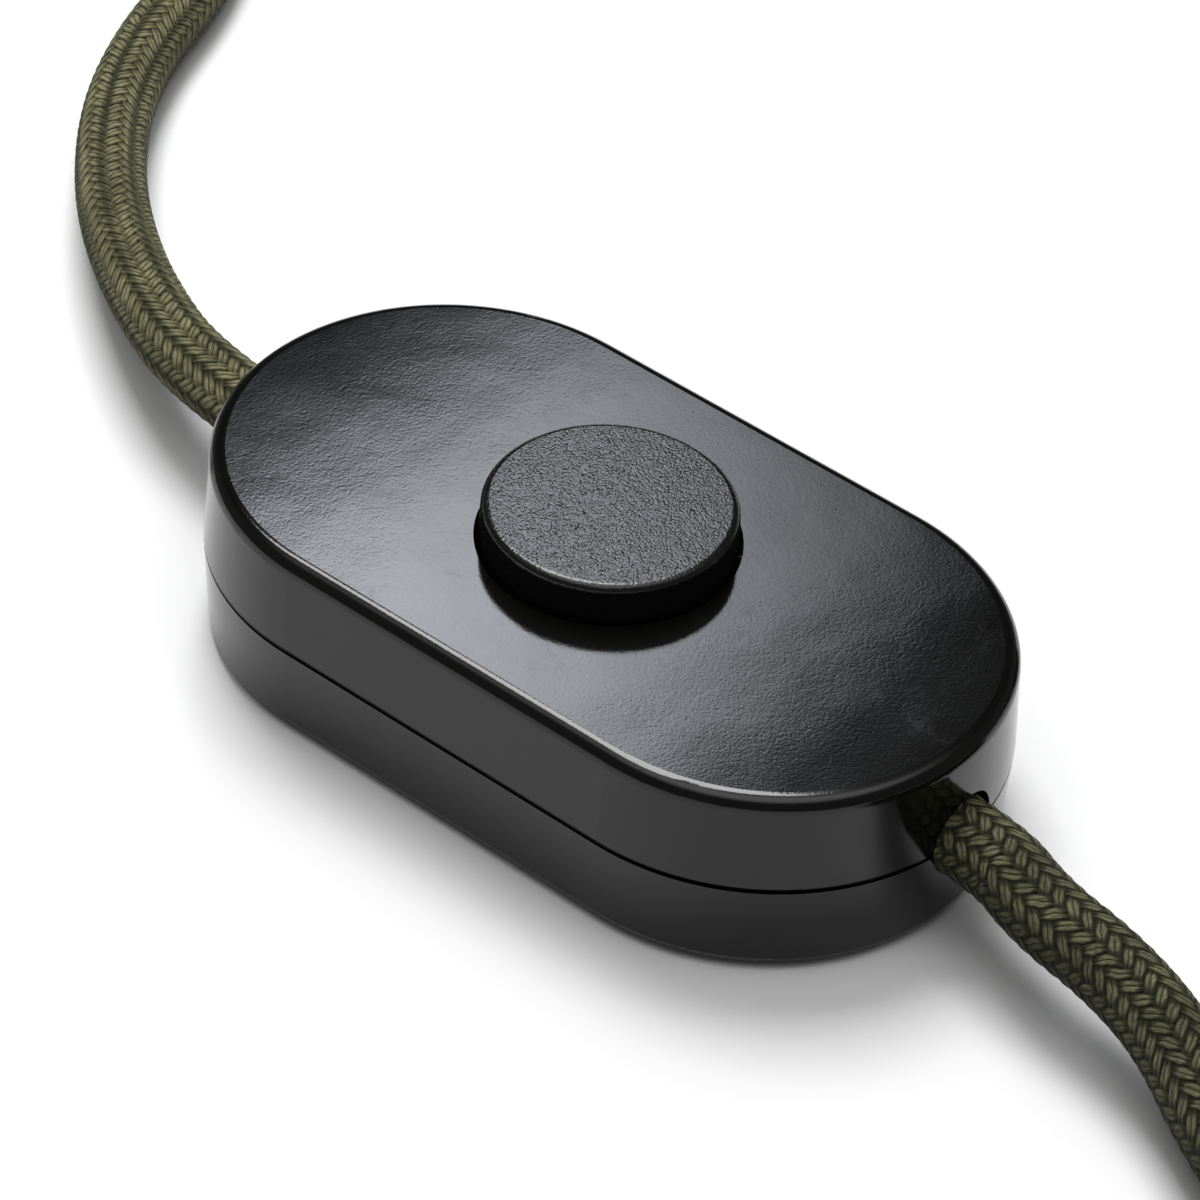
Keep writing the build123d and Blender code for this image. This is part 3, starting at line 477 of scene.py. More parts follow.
@dataclass(frozen=True)
class CoreTrio:
    """Sheaths of three cores on one mesh, told apart by its attribute core: 0, 1 or 2."""

    name: str
    def material(self) -> bpy.types.Material:
        """A soft plastic, brown, blue, or green with a yellow stripe along it."""
        tree = Surface(self.name)
        core = tree.attribute("core")
        stripe = tree.attribute("stripe").cos().ramp(-0.15, 0.15)
        waves = tree.noise(tree.place(), 700.0, 3.0)
        tree.raise_by(waves, 0.00002)
        earth = tree.mix(stripe, GREEN, YELLOW)
        colour = tree.mix(core.above(0.5), BROWN, BLUE)
        colour = tree.mix(core.above(1.5), colour, earth)
        return tree.finish(Base_Color=colour, Roughness=waves * 0.1 + 0.36)


@dataclass(frozen=True)
class LoopTape:
    """Woven tape with a pile of small loops, for the coils' ties."""

    name: str
    colour: Colour = (0.012, 0.012, 0.013)

    def material(self) -> bpy.types.Material:
        """A dark cloth whose pile is small round cells and whose ground is fine noise."""
        tree = Surface(self.name)
        at = tree.place()
        loops = tree.cells(at, 2300.0, "SMOOTH_F1")
        pile = tree.noise(at, 5200.0, 3.0, 0.7)
        tree.raise_by(1.0 - loops, 0.00022)
        tree.raise_by(pile, 0.00008)
        light = tuple(part * 5.0 for part in self.colour)
        colour = tree.mix((1.0 - loops).ramp(0.4, 0.9) * pile, self.colour, light)
        return tree.finish(Base_Color=colour, Roughness=pile * 0.15 + 0.8, Sheen_Weight=0.3)


class Finish(Enum):
    """Every finish of the object."""

    HOUSING = Moulding(
        "housing_moulding",
        (0.0030, 0.0030, 0.0027),
        roughness=0.11,
        grain=0.00028,
        grain_depth=0.0000019,
        fine_depth=0.0000003,
        wave_depth=0.00005,
        index=1.44,
        joint=SEAM_HEIGHT,
    )
    BUTTON = Moulding(
        "button_moulding",
        (0.0050, 0.0050, 0.0052),
        roughness=0.19,
        grain=0.00027,
        grain_depth=0.000015,
        fine_depth=0.0000010,
        index=1.47,
    )
    OLIVE = Braid("olive_braid")
    # A lighter copy of the olive braid for the lamp side: the same cloth, with painted light.
    FADED_OLIVE = Braid(
        "lit_olive_braid",
        dark=(0.007, 0.007, 0.0035),
        body=(0.125, 0.12, 0.057),
        light=(0.44, 0.42, 0.235),
        underside_shade=0.45,
        ridges=7,
    )
    RUBBER = Rubber("black_rubber", (0.014, 0.014, 0.014))
    ZINC = Metal("zinc_plate", (0.62, 0.63, 0.62), 0.34)
    BRASS = Metal("turned_brass", (0.78, 0.56, 0.25), 0.3)
    BRONZE = Metal("leaf_bronze", (0.72, 0.43, 0.24), 0.28, 0.000003, (1.0, 8.0, 1.0))
    SPRING = Metal("spring_wire", (0.45, 0.45, 0.46), 0.3)
    NICKEL = Metal("nickel_pins", (0.66, 0.63, 0.57), 0.2, 0.000002)
    TIN = Metal("tinned_ferrule", (0.74, 0.74, 0.72), 0.36)
    WHITE_NYLON = Moulding("white_nylon", (0.72, 0.71, 0.67), 0.42, 0.0006, 0.000008)
    BLACK_NYLON = Moulding("black_nylon", (0.016, 0.016, 0.016), 0.42, 0.0005, 0.00001)
    PLUG = Moulding("plug_moulding", (0.011, 0.011, 0.011), 0.36, 0.0005, 0.000016, 0.00001)
    LINE = Insulation("brown_core", BROWN)
    NEUTRAL = Insulation("blue_core", BLUE)
    EARTH = Insulation("earth_core", GREEN, YELLOW)
    TAPE = LoopTape("loop_tape")
    CORES = CoreTrio("core_trio")

    def material(self) -> bpy.types.Material:
        """The finish's material, built on its first use."""
        built = bpy.data.materials.get(self.value.name)
        return built or self.value.material()


# ---- surfaces


def unit(vectors: Array) -> Array:
    """Vectors divided by their own lengths."""
    return vectors / np.linalg.norm(vectors, axis=-1, keepdims=True)


def new_piece(
    name: str,
    points: Array,
    quads: Array,
    triangles: Array | None = None,
    uv: Array | None = None,
    finish: Finish | None = None,
) -> bpy.types.Object:
    """Puts arrays of points and faces into a smooth shaded mesh object at the origin.

    Args:
        name: the piece's name.
        points: (n, 3) places in metres.
        quads: (m, 4) corners of the four sided faces.
        triangles: (k, 3) corners of the three sided faces.
        uv: (4m + 3k, 2) UV of every corner, quads first.
        finish: what it is covered with.
    """
    threes = [] if triangles is None else triangles.tolist()
    mesh = bpy.data.meshes.new(name)
    mesh.from_pydata(points.tolist(), [], quads.tolist() + threes)
    mesh.shade_smooth()
    if uv is not None:
        mesh.uv_layers.new(name="UVMap").uv.foreach_set("vector", uv.astype(np.float32).ravel())
    mesh.update()
    mesh.validate()
    if finish is not None:
        mesh.materials.append(finish.material())
    piece = bpy.data.objects.new(name, mesh)
    bpy.context.scene.collection.objects.link(piece)
    return piece


def hold(piece: bpy.types.Object, name: str, values: Array) -> None:
    """Stores one number for each point of a piece."""
    held = piece.data.attributes.new(name, "FLOAT", "POINT")
    held.data.foreach_set("value", values.astype(np.float32).ravel())


def tube_faces(rows: int, columns: int, first: int = 0) -> tuple[Array, Array]:
    """Quads between rings joined into a tube, and the triangles of a fan to a pole at each end.

    Args:
        rows: number of rings.
        columns: points of each ring.
        first: index of the first ring's first point; the two poles come after the last ring.
    """
    column = np.arange(columns)
    after = (column + 1) % columns
    low = (np.arange(rows - 1) * columns)[:, None]
    quads = np.stack([low + column, low + after, low + columns + after, low + columns + column], -1)
    pole, last = rows * columns, (rows - 1) * columns
    start = np.stack([np.full(columns, pole), after, column], -1)
    end = np.stack([np.full(columns, pole + 1), last + column, last + after], -1)
    return quads.reshape(-1, 4) + first, np.concatenate([start, end]) + first


def tube_uv(rows: int, columns: int, along: Array) -> Array:
    """UV of a tube's corners, in the order of tube_faces: u once round, v along given by ring."""
    left = np.broadcast_to(np.arange(columns) / columns, (rows - 1, columns))
    right = left + 1 / columns
    low = np.broadcast_to(along[:-1, None], left.shape)
    high = np.broadcast_to(along[1:, None], left.shape)
    quads = np.stack([left, low, right, low, right, high, left, high], -1).reshape(-1, 2)
    one, two, first, last = left[0], right[0], low[0], high[-1]
    middle = (one + two) / 2
    start = np.stack([middle, first, two, first, one, first], -1).reshape(-1, 2)
    end = np.stack([middle, last, one, last, two, last], -1).reshape(-1, 2)
    return np.concatenate([quads, start, end])


def across_path(line: Array) -> tuple[Array, Array, Array]:
    """Unit vectors along a path that never runs upright, level to its left, and up from both."""
    ahead = unit(np.gradient(line, axis=0))
    left = unit(np.cross([0.0, 0.0, 1.0], ahead))
    return ahead, left, np.cross(ahead, left)


def swept(line: Array, radii: Array, columns: int) -> Array:
    """Points of a tube ring by ring, and its two poles: centre + radius (left cos a + up sin a).

    The radii are one for each ring, or one for each of its points.
    """
    _, left, up = across_path(line)
    turn = np.arange(columns) / columns * 2 * math.pi
    wide = np.broadcast_to(radii if radii.ndim == 2 else radii[:, None], (len(line), columns))
    rings = line[:, None] + wide[..., None] * (
        np.cos(turn)[None, :, None] * left[:, None] + np.sin(turn)[None, :, None] * up[:, None]
    )
    return np.concatenate([rings.reshape(-1, 3), line[:1], line[-1:]])


def nurbs_line(points: Sequence[Point], fineness: int = 24) -> Array:
    """Points of the open NURBS spline of order 3 that has these control points."""
    curve = bpy.data.curves.new("route", "CURVE")
    curve.dimensions = "3D"
    curve.resolution_u = fineness
    spline = curve.splines.new("NURBS")
    spline.points.add(len(points) - 1)
    control = np.ones((len(points), 4), np.float32)
    control[:, :3] = points
    spline.points.foreach_set("co", control.ravel())
    spline.order_u = 3
    spline.use_endpoint_u = True
    holder = bpy.data.objects.new("route", curve)
    mesh = bpy.data.meshes.new_from_object(holder)
    line = np.zeros(len(mesh.vertices) * 3, np.float32)
    mesh.vertices.foreach_get("co", line)
    bpy.data.objects.remove(holder)
    bpy.data.curves.remove(curve)
    bpy.data.meshes.remove(mesh)
    return line.reshape(-1, 3).astype(float)


def distance_along(line: Array) -> Array:
    """Length of the line up to each of its points."""
    return np.concatenate([[0.0], np.cumsum(np.linalg.norm(np.diff(line, axis=0), axis=1))])


def at_distance(line: Array, along: Array) -> Array:
    """Points of a line at the given lengths along it."""
    reached = distance_along(line)
    return np.stack([np.interp(along, reached, line[:, axis]) for axis in range(3)], axis=1)


def smooth_step(low: float, high: float, value: Array) -> Array:
    """0 up to low, 1 from high on, and 3t2 - 2t3 of the share t between them."""
    share = np.clip((value - low) / (high - low), 0.0, 1.0)
    return share * share * (3.0 - 2.0 * share)


# ---- the lead


@dataclass
class Lead:
    """One side of the textile lead: its route, its braided surface and its stray fibres."""

    name: str
    route: list[Point]
    nodes: tuple[str, ...]
    shown: float
    grooves: float
    finish: Finish
    seed: int
    radius: float = CORD_RADIUS
    columns: int = 112
    near_step: float = 0.00026
    far_step: float = 0.0023
    fade: float = 0.012
    carriers: int = 14
    relief: float = 0.00019
    sunk: float = 0.00012
    twist: float = 0.19
    fibres: int = 260
    fibre_radius: float = 0.000012
    fibre_rings: int = 5
    floor_gap: float = 0.00003

    def build(self) -> tuple[bpy.types.Object, Array]:
        """Makes the braided tube.

        Rows lie close together as far as the braid shows, and further apart beyond. The radius is
        that of the lead, plus the relief of the braid where rows are close, plus three lengthwise
        swellings of the cores inside: cos 3a for the angle a less a slow twist. The centres of
        the rings come with it.
        """
        line = nurbs_line(self.route)
        length = distance_along(line)[-1]
        near = np.arange(0.0, self.shown, self.near_step)
        far = np.linspace(self.shown, length, int((length - self.shown) / self.far_step))
        spread = np.append(near, far)
        centres = at_distance(line, spread)
        lay = 2 * math.pi * self.radius
        around = np.arange(self.columns) / self.columns
        fade = 1.0 - smooth_step(self.shown - self.fade, self.shown, spread)
        height = self.braid_height(around[None, :], (spread / lay)[:, None])
        twist = 2 * math.pi * spread / self.twist + 0.6
        swell = np.cos(3 * (2 * math.pi * around[None, :] - twist[:, None] / 3))
        radii = self.radius - self.sunk + self.relief * fade[:, None] * height
        radii = radii + self.grooves * (swell - 0.35)
        points = swept(centres, radii, self.columns)
        quads, fans = tube_faces(len(centres), self.columns)
        uv = tube_uv(len(centres), self.columns, spread / lay)
        piece = new_piece(self.name, points, quads, fans, uv, self.finish)
        hold(piece, "relief", np.append(np.repeat(fade, self.columns), [fade[0], fade[-1]]))
        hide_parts(*self.nodes)
        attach(piece, "root")
        return piece, centres

    def braid_height(self, u: Array, v: Array) -> Array:
        """Height of the braid, about -0.5 to 1, the same as the finish draws.

        A carrier of the first family is numbered by floor(n (u + v)) and one of the second by
        floor(n (u - v)). Along each, its middle rises and falls as a cosine with a period of four
        crossings, and across it is rounded. The surface is the higher of the two families.
        """
        first = (u + v) * self.carriers
        second = (u - v) * self.carriers
        above = np.cos((second + np.floor(first) - 1.0) * math.pi / 2)
        below = np.cos((first + np.floor(second) - 3.0) * math.pi / 2)
        first_hump = 1.0 - np.abs(2 * (first - np.floor(first)) - 1) ** 2.6
        second_hump = 1.0 - np.abs(2 * (second - np.floor(second)) - 1) ** 2.6
        return np.maximum(above * 0.5 + first_hump * 0.55, below * 0.5 + second_hump * 0.55)

    def fuzz(self, centres: Array) -> bpy.types.Object:
        """Stray fibres: thin three sided hairs that leave the braid and curl back."""
        random = np.random.default_rng(self.seed)
        rows = int(self.shown / self.near_step) - 4
        forward, left, up = across_path(centres)
        pick = random.integers(60, rows, self.fibres)
        angle = random.uniform(0.0, 2 * math.pi, self.fibres)
        ahead = forward[pick]
        out = np.cos(angle)[:, None] * left[pick] + np.sin(angle)[:, None] * up[pick]
        side = np.cross(ahead, out)
        length = random.uniform(0.0004, 0.0017, self.fibres)
        lean = random.uniform(-1.0, 1.0, (self.fibres, 2))
        steps = np.linspace(0.0, 1.0, self.fibre_rings)
        root = centres[pick] + out * (self.radius - 0.0001)
        rise = (length * 0.34)[:, None] * np.sin(steps * math.pi * 0.8)[None, :]
        along = (length * lean[:, 0])[:, None] * steps[None, :]
        aside = (length * lean[:, 1] * 0.6)[:, None] * (steps**2)[None, :]
        middle = (
            root[:, None]
            + rise[..., None] * out[:, None]
            + along[..., None] * ahead[:, None]
            + aside[..., None] * side[:, None]
        )
        turn = (np.arange(3) / 3 * 2 * math.pi)[:, None]
        thin = self.fibre_radius * (1.15 - steps)
        ring = np.cos(turn) * out[:, None, None] + np.sin(turn) * side[:, None, None]
        points = middle[:, :, None] + thin[None, :, None, None] * ring
        points[..., 2] = np.maximum(points[..., 2], self.floor_gap)
        quads, _ = tube_faces(self.fibre_rings, 3)
        count = self.fibre_rings * 3
        first = (np.arange(self.fibres) * count)[:, None, None]
        faces = (first + quads).reshape(-1, 4)
        caps = (first + np.array([[2, 1, 0], [count - 3, count - 2, count - 1]])).reshape(-1, 3)
        name = self.name + "_fibres"
        piece = new_piece(name, points.reshape(-1, 3), faces, caps, finish=self.finish)
        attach(piece, "root")
        return piece


@dataclass(frozen=True)
class Coil:
    """Turns of a put-away length, two beside each other on the floor and the rest on top."""

    centre: tuple[float, float]
    start: float
    knots: tuple[Point, ...]
    step: float = 20.0

    def points(self) -> list[Point]:
        """Control points of the turns, eighteen to each.

        The knots give the winding angle, radius and height where these change, and both run
        smoothly between them. The points on the first and last knot are left out.
        """
        given = np.array(self.knots)
        angles = np.arange(given[0, 0] + self.step, given[-1, 0] - self.step / 2, self.step)
        share = np.interp(angles, given[:, 0], np.arange(len(given)))
        low = np.floor(share).astype(int)
        blend = smooth_step(0.0, 1.0, share - low)[:, None]
        after = np.minimum(low + 1, len(given) - 1)
        radius, height = (given[low, 1:] * (1 - blend) + given[after, 1:] * blend).T
        turn = np.radians(self.start + angles)
        x = self.centre[0] + radius * np.cos(turn)
        y = self.centre[1] + radius * np.sin(turn)
        return np.stack([x, y, height], axis=1).tolist()


WOUND = (
    (0, OUTER_TURN, LOW_LAYER),
    (310, OUTER_TURN, LOW_LAYER),
    (360, INNER_TURN, LOW_LAYER),
    (620, INNER_TURN, LOW_LAYER),
    (670, INNER_TURN, HIGH_LAYER),
)


def mains_lead() -> Lead:
    """The lead from the housing through its coil to the plug."""
    last = (
        (930, INNER_TURN, HIGH_LAYER),
        (980, OUTER_TURN, HIGH_LAYER),
        (1170, OUTER_TURN, HIGH_LAYER),
    )
    route = [
        (0.030, 0.0, SEAM_HEIGHT),
        (0.0465, 0.0, SEAM_HEIGHT),
        (0.054, -0.0032, 0.0103),
        (0.063, -0.0039, 0.0094),
        (0.0715, -0.0064, 0.0084),
        (0.080, -0.0115, 0.0066),
        (0.093, -0.0170, 0.0046),
        (0.108, -0.0193, CORD_RADIUS),
        (0.124, -0.019815, LOW_LAYER),
        *Coil(MAINS_COIL, -90.0, WOUND + last).points(),
        (0.169815, 0.026, HIGH_LAYER),
        (0.1698, 0.0575, 0.0108),
        (0.1563, 0.0812, 0.0115),
        (0.1326, 0.0949, 0.0168),
        (0.108, 0.0956, 0.0168),
    ]
    nodes = ("mains_cord", "mains_coil", "mains_cord_tail")
    return Lead("mains_lead", route, nodes, 0.105, 0.00004, Finish.OLIVE, seed=5)


def lamp_lead() -> Lead:
    """The lead from the housing through its coil to the end that is wired into the lamp."""
    last = ((855, INNER_TURN, HIGH_LAYER),)
    route = [
        (-0.030, 0.0, SEAM_HEIGHT),
        (-0.0513, -0.0003, SEAM_HEIGHT),
        (-0.0710, 0.0092, 0.0083),
        (-0.0887, 0.0233, 0.0056),
        (-0.102, 0.0408, 0.0041),
        (-0.109, 0.062, CORD_RADIUS),
        (-0.1213, 0.079, CORD_RADIUS),
        (-0.1383, 0.0913, CORD_RADIUS),
        (-0.1583, 0.0978, 0.0039),
        (-0.1793, 0.0978, LOW_LAYER),
        *Coil(LAMP_COIL, 90.0, WOUND + last).points(),
        (-0.206251, 0.025034, HIGH_LAYER),
        (-0.1822, 0.001, 0.0125),
        (-0.1683, -0.007, 0.0084),
        (-0.1529, -0.0111, 0.0042),
        (-0.1354, -0.0111, 0.0042),
    ]
    nodes = ("lamp_cord", "lamp_coil", "lamp_cord_tail")
    # The lamp side wears the lighter copy of the braid, which paints light on it.
    return Lead(
        "lamp_lead", route, nodes, 0.125, 0.00016, Finish.FADED_OLIVE, seed=9, near_step=0.00034
    )


@dataclass
class Tie:
    """A strap of loop tape round the turns of a coil, its end lapped over itself."""

    name: str
    node: str
    centre: tuple[float, float]
    angle: float
    turns: tuple[tuple[float, float], ...]
    width: float = 0.0088
    gap: float = 0.0002
    thickness: float = 0.00085
    floor_gap: float = 0.00002

    def build(self) -> bpy.types.Object:
        """Makes the strap.

        Its section is the outline of the rubber band stretched over the round turns: for each
        direction d, the furthest reach max(c . d) + radius of the turns' centres c. It runs once
        round and an eighth more, where it lies on itself, and is carried straight across.
        """
        facing = np.linspace(0.25 * math.pi, 2.5 * math.pi, 150)
        outwards = np.stack([np.cos(facing), np.sin(facing)], -1)
        centres = np.array(self.turns)
        nearest = centres[np.argmax(outwards @ centres.T, axis=1)]
        reach = CORD_RADIUS + self.gap
        lap = smooth_step(2.0 * math.pi, 2.25 * math.pi, facing) * self.thickness * 1.1
        inner = nearest + outwards * (reach + lap)[:, None]
        outer = nearest + outwards * (reach + lap + self.thickness)[:, None]
        edge = np.linspace(-0.5, 0.5, 9) * self.width
        crown = 1.0 - 0.25 * (2 * edge / self.width) ** 6
        turn = math.radians(self.angle)
        away = np.array([math.cos(turn), math.sin(turn), 0.0])
        ahead = np.array([-math.sin(turn), math.cos(turn), 0.0])
        middle = np.array([*self.centre, 0.0])

        def sheet(section: Array, lift: Array) -> Array:
            """Section points carried across the strap's width, moved outwards by lift."""
            moved = section[:, None] + outwards[:, None] * lift[None, :, None]
            flat = middle + moved[..., :1] * away + moved[..., 1:] * np.array([0.0, 0.0, 1.0])
            return flat + edge[None, :, None] * ahead

        top = sheet(outer, (crown - 1.0) * self.thickness)
        under = sheet(inner, np.zeros_like(edge))
        rings = np.concatenate([top, under[:, ::-1]], axis=1)
        rings[..., 2] = np.maximum(rings[..., 2], self.floor_gap)
        poles = rings[[0, -1]].mean(axis=1)
        points = np.concatenate([rings.reshape(-1, 3), poles])
        faces = tube_faces(*rings.shape[:2])
        piece = new_piece(self.name, points, *faces, finish=Finish.TAPE)
        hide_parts(self.node)
        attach(piece, "root")
        return piece


@dataclass(frozen=True)
class LampEnd:
    """Three cores that come out of the lead's sleeve, each with a crimped ferrule on its end."""

    start: Point = (-0.1254, -0.0111, 0.0042)
    across: tuple[float, ...] = (-0.00125, 0.0, 0.00125)
    above: tuple[float, ...] = (-0.00075, 0.0014, -0.00075)
    tips: tuple[Point, ...] = (
        (0.029, -0.0078, -0.00255),
        (0.031, -0.0008, -0.00255),
        (0.0275, 0.0066, -0.00255),
    )
    core_radius: float = 0.00115
    ferrule_radius: float = 0.0015
    tip_radius: float = 0.00065
    crimp: float = 0.0011
    collar: float = 0.0059
    ferrule: float = 0.0128
    columns: int = 20

    def lines(self) -> list[Array]:
        """Centre line of each core, in metres from the sleeve's end."""
        found = []
        for aside, rise, (x, y, z) in zip(self.across, self.above, self.tips):
            route = [
                (-0.004, aside, rise),
                (0.006, aside * 1.1, rise),
                (x * 0.45, aside + y * 0.35, rise * 0.4 - 0.0008),
                (x * 0.78, y * 0.86, z),
                (x, y, z),
            ]
            found.append(nurbs_line(route, 10) + np.array(self.start))
        return found

    def tubes(
        self, name: str, finish: Finish, lines: Sequence[Array], radii: Sequence[Array]
    ) -> tuple[bpy.types.Object, Array, Array]:
        """Tubes round several lines as one piece, with each point's line and angle round it."""
        points, quads, fans, which, turned, first = [], [], [], [], [], 0
        angle = np.arange(self.columns) / self.columns * 2 * math.pi
        for number, (line, wide) in enumerate(zip(lines, radii)):
            points.append(swept(line, wide, self.columns))
            sides, ends = tube_faces(len(line), self.columns, first)
            quads.append(sides)
            fans.append(ends)
            which.append(np.full(len(points[-1]), float(number)))
            turned.append(np.append(np.tile(angle, len(line)), [0.0, 0.0]))
            first += len(points[-1])
        parts = (np.concatenate(part) for part in (points, quads, fans))
        piece = new_piece(name, *parts, finish=finish)
        return piece, np.concatenate(which), np.concatenate(turned)

    def build(self) -> list[bpy.types.Object]:
        """Makes the cores and their ferrules.

        A ferrule goes on straight from its core. Its radius is that of its collar, then that of
        its crimped tube, which is pinched in a row of shallow waves: 1 + 0.09 cos of the distance.
        """
        lines = self.lines()
        radii = [np.full(len(line), self.core_radius) for line in lines]
        cores, which, turned = self.tubes("lamp_cores", Finish.CORES, lines, radii)
        hold(cores, "core", which)
        hold(cores, "stripe", turned)
        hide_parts("lamp_end_cores")
        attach(cores, "root")
        collar = np.linspace(-0.0008, self.collar, 8)
        along = np.append(collar, np.linspace(self.collar + 0.0002, self.ferrule, 44))
        crimped = self.tip_radius * (1.0 + 0.09 * np.cos(along * 2 * math.pi / self.crimp))
        wide = np.where(along <= self.collar, self.ferrule_radius, crimped)
        wide[0] *= 0.9
        wide[-1] *= 0.7
        runs = [line[-1] + along[:, None] * unit(line[-1] - line[-3]) for line in lines]
        ferrules, _, _ = self.tubes("lamp_ferrules", Finish.TIN, runs, [wide] * len(runs))
        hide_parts("lamp_end_ferrules")
        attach(ferrules, "root")
        return [cores, ferrules]


@dataclass(frozen=True)
class Spring:
    """Wire spring under the button."""

    node: str = "return_spring"
    joint: str = "button_press"
    radius: float = 0.00695
    wire: float = 0.00035
    turns: float = 4.5
    travel: float = 0.003
    rows: int = 400
    columns: int = 14

    def build(self) -> bpy.types.Object:
        """Makes the spring: a round wire along a helix that fills the height of its part."""
        low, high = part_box(self.node)
        foot, height = float(low[2]), float(high[2] - low[2])
        share = np.linspace(0.0, 1.0, self.rows)
        turn = share * self.turns * 2 * math.pi
        rise = foot + self.wire + share * (height - 2 * self.wire)
        line = np.stack([self.radius * np.cos(turn), self.radius * np.sin(turn), rise], axis=1)
        points = swept(line, np.full(self.rows, self.wire), self.columns)
        faces = tube_faces(self.rows, self.columns)
        piece = new_piece("spring_wire", points, *faces, finish=Finish.SPRING)
        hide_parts(self.node)
        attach(piece, "root")
        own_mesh(piece)
        return piece


# ---- carried over nodes


# Pieces whose solids already have the right shape.
SOLIDS = {
    Finish.HOUSING: ("lower_shell", "upper_shell"),
    Finish.BUTTON: ("button_cap",),
    Finish.RUBBER: ("rubber_feet", "plug_strain_relief", "lamp_end_sleeve"),
    Finish.ZINC: ("housing_screws", "clamp_screws", "terminal_screws", "frame_screws"),
    Finish.BRASS: (
        "neutral_terminal",
        "earth_terminal",
        "line_in_terminal",
        "line_out_terminal",
        "rotor_contact",
    ),
    Finish.BRONZE: ("line_in_leaf", "line_out_leaf"),
    Finish.SPRING: ("rotor_axle",),
    Finish.NICKEL: ("plug_earth_clips", "plug_pins"),
    Finish.WHITE_NYLON: ("switch_frame", "plunger", "ratchet_rotor"),
    Finish.BLACK_NYLON: ("mains_cord_clamp", "lamp_cord_clamp"),
    Finish.PLUG: ("plug_body",),
    Finish.LINE: ("mains_line_core", "lamp_line_core"),
    Finish.NEUTRAL: ("mains_neutral_core", "lamp_neutral_core"),
    Finish.EARTH: ("mains_earth_core", "lamp_earth_core"),
}


def dress_solids() -> None:
    """Gives each carried over solid the material of its finish."""
    for finish, nodes in SOLIDS.items():
        for node in nodes:
            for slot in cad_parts[node].material_slots:
                slot.material = finish.material()
        log.info("dressed %s with %s", ", ".join(nodes), finish.value.name)


# ---- studio


@dataclass(frozen=True)
class Camera:
    """The photograph's point of view."""

    place: Point = (0.22554, -0.29579, 0.33489)
    lens: float = 155.176
    azimuth: float = 37.39
    elevation: float = 40.86
    roll: float = 3.83
    sensor: float = 36.0
    near: float = 0.01
    far: float = 20.0

    def build(self) -> None:
        """Makes the scene's camera."""
        data = bpy.data.cameras.new("camera")
        data.lens = self.lens
        data.sensor_width = self.sensor
        data.clip_start = self.near
        data.clip_end = self.far
        holder = bpy.data.objects.new("camera", data)
        holder.matrix_world = (
            Matrix.Translation(self.place)
            @ Matrix.Rotation(math.radians(self.azimuth), 4, "Z")
            @ Matrix.Rotation(math.radians(90.0 - self.elevation), 4, "X")
            @ Matrix.Rotation(math.radians(self.roll), 4, "Z")
        )
        bpy.context.scene.collection.objects.link(holder)
        bpy.context.scene.camera = holder


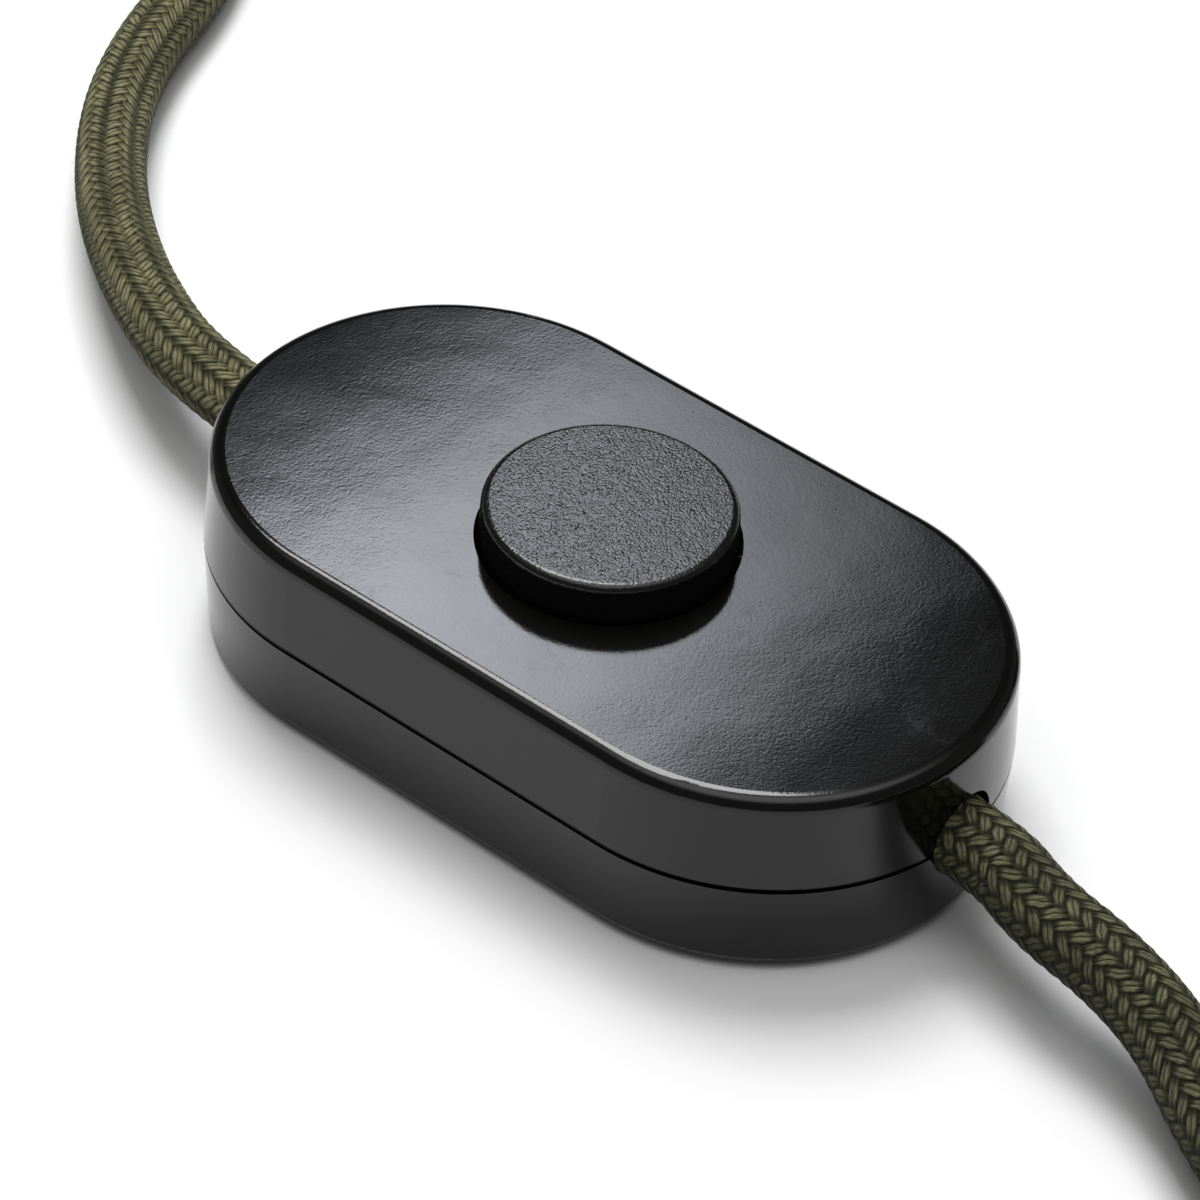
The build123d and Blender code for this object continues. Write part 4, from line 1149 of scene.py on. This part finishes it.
@dataclass(frozen=True)
class Studio:
    """White floor, a long soft window that the cover mirrors, a soft lamp and a pale sky."""

    floor_half: float = 3.0
    window_distance: float = 0.6
    window_strength: float = 13.0
    window_long: tuple[float, float] = (0.0520, 0.0270)
    window_wide: tuple[float, float] = (-0.0330, 0.0265)
    window_reach: tuple[float, float] = (1.25, 1.9)
    window_points: int = 41
    window_fade: tuple[float, float, float, float] = (-0.94, -0.58, 0.74, 1.0)
    window_colour: Colour = (0.95, 0.99, 1.08)
    mirrored: Point = (-0.4634, 0.6077, 0.6449)
    key_place: Point = (-0.560, 0.410, 1.438)
    key_size: float = 0.72
    key_power: float = 20.0
    horizon: float = 0.16
    overhead: float = 2.6
    behind: float = 0.22
    overhead_edge: tuple[float, float] = (0.72, 0.97)
    behind_edge: tuple[float, float] = (0.55, 0.9)

    def build(self) -> None:
        """Makes the floor, the lights and the surroundings."""
        self.floor()
        self.window()
        self.key()
        self.surroundings()
        bpy.context.scene.view_settings.view_transform = "Standard"

    def floor(self) -> None:
        """A plain white floor with a faint unevenness."""
        corners = np.array([(-1.0, -1.0, 0.0), (1.0, -1.0, 0.0), (1.0, 1.0, 0.0), (-1.0, 1.0, 0.0)])
        plane = new_piece("floor", corners * self.floor_half, np.array([[0, 1, 2, 3]]))
        tree = Surface("floor_paper")
        cloud = tree.noise(tree.place(), 6.0, 2.0)
        plane.data.materials.append(
            tree.finish(
                Base_Color=tree.mix(cloud, (0.86, 0.86, 0.86), (0.88, 0.88, 0.88)),
                Roughness=0.85,
                Specular_IOR_Level=0.1,
            )
        )

    def window(self) -> None:
        """A glowing sheet behind the object, at the directions that the cover mirrors.

        Its points are s along + t across from the middle of the mirrored view, and its glow is
        strongest at the end and side nearest to the object's left front, with soft edges.
        """
        toward = np.array(self.mirrored)
        across = unit(np.cross(toward, [0.0, 0.0, 1.0]))
        upward = np.cross(across, toward)
        middle = np.array([0.0, 0.0, TOP_HEIGHT]) + toward * self.window_distance
        along = self.window_long[0] * across + self.window_long[1] * upward
        wide = self.window_wide[0] * across + self.window_wide[1] * upward
        count = self.window_points
        grid = np.linspace(-1.0, 1.0, count)
        s, t = np.meshgrid(*(grid * reach for reach in self.window_reach), indexing="ij")
        points = middle + s[..., None] * along + t[..., None] * wide
        rise, full, fall, dark = self.window_fade
        soft = smooth_step(rise, full, s) * (1 - smooth_step(fall, dark, s))
        glow = soft * (0.45 - 0.20 * s + 0.24 * t)
        index = np.arange(count * count).reshape(count, count)
        quads = np.stack([index[:-1, :-1], index[1:, :-1], index[1:, 1:], index[:-1, 1:]], -1)
        sheet = new_piece("window", points.reshape(-1, 3), quads.reshape(-1, 4))
        hold(sheet, "glow", np.clip(glow, 0, None))
        tree = Surface("window_glow")
        bright = tree.attribute("glow")
        tree.finish(
            Base_Color=(0.0, 0.0, 0.0),
            Emission_Color=tree.mix(bright, (0.0, 0.0, 0.0), self.window_colour),
            Emission_Strength=self.window_strength,
        )
        sheet.data.materials.append(tree.owner)
        sheet.visible_camera = False

    def key(self) -> None:
        """A square soft lamp, high up at the back left, that faces the object."""
        data = bpy.data.lights.new("key", "AREA")
        data.shape = "RECTANGLE"
        data.size = self.key_size
        data.size_y = self.key_size
        data.energy = self.key_power
        holder = bpy.data.objects.new("key", data)
        holder.location = self.key_place
        holder.rotation_euler = Vector(self.key_place).to_track_quat("Z", "Y").to_euler()
        holder.visible_camera = False
        bpy.context.scene.collection.objects.link(holder)

    def surroundings(self) -> None:
        """Soft light, most of it from overhead, and little where the cover mirrors it."""
        world = bpy.data.worlds.new("surroundings")
        tree = NodeTree(world)
        above = tree.toward((0.0, 0.0, 1.0)).ramp(*self.overhead_edge, self.horizon, self.overhead)
        shade = tree.toward(self.mirrored).ramp(*self.behind_edge, 1.0, self.behind)
        sky = tree.node("ShaderNodeBackground", inputs={"Strength": above * shade})
        tree.node("ShaderNodeOutputWorld", inputs={"Surface": sky.out(0)})
        bpy.context.scene.world = world


# ---- the whole object


def declare_leads() -> None:
    """Builds both sides of the lead with their ties and stray fibres, and logs each lead's point
    count.
    """
    mains = mains_lead()
    piece, centres = mains.build()
    fibres = mains.fuzz(centres)
    low, high = LOW_LAYER, HIGH_LAYER
    turns = ((OUTER_TURN, low), (INNER_TURN, low), (INNER_TURN, high), (OUTER_TURN, high))
    tie = Tie("mains_tie", "mains_coil_tie", MAINS_COIL, -45.0, turns).build()
    log.info("mains lead, %d points", len(piece.data.vertices))
    lamp = lamp_lead()
    piece, centres = lamp.build()
    fibres = lamp.fuzz(centres)
    tie = Tie("lamp_tie", "lamp_coil_tie", LAMP_COIL, 135.0, turns[:3]).build()
    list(LampEnd().build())
    log.info("lamp lead, %d points", len(piece.data.vertices))


def main() -> None:
    """Builds the scene: camera, leads, carried over solids and studio."""
    logging.basicConfig(level=logging.INFO, format="%(name)s: %(message)s")
    Camera().build()
    declare_leads()
    Spring().build()
    dress_solids()
    Studio().build()


if __name__ == "__main__":
    main()
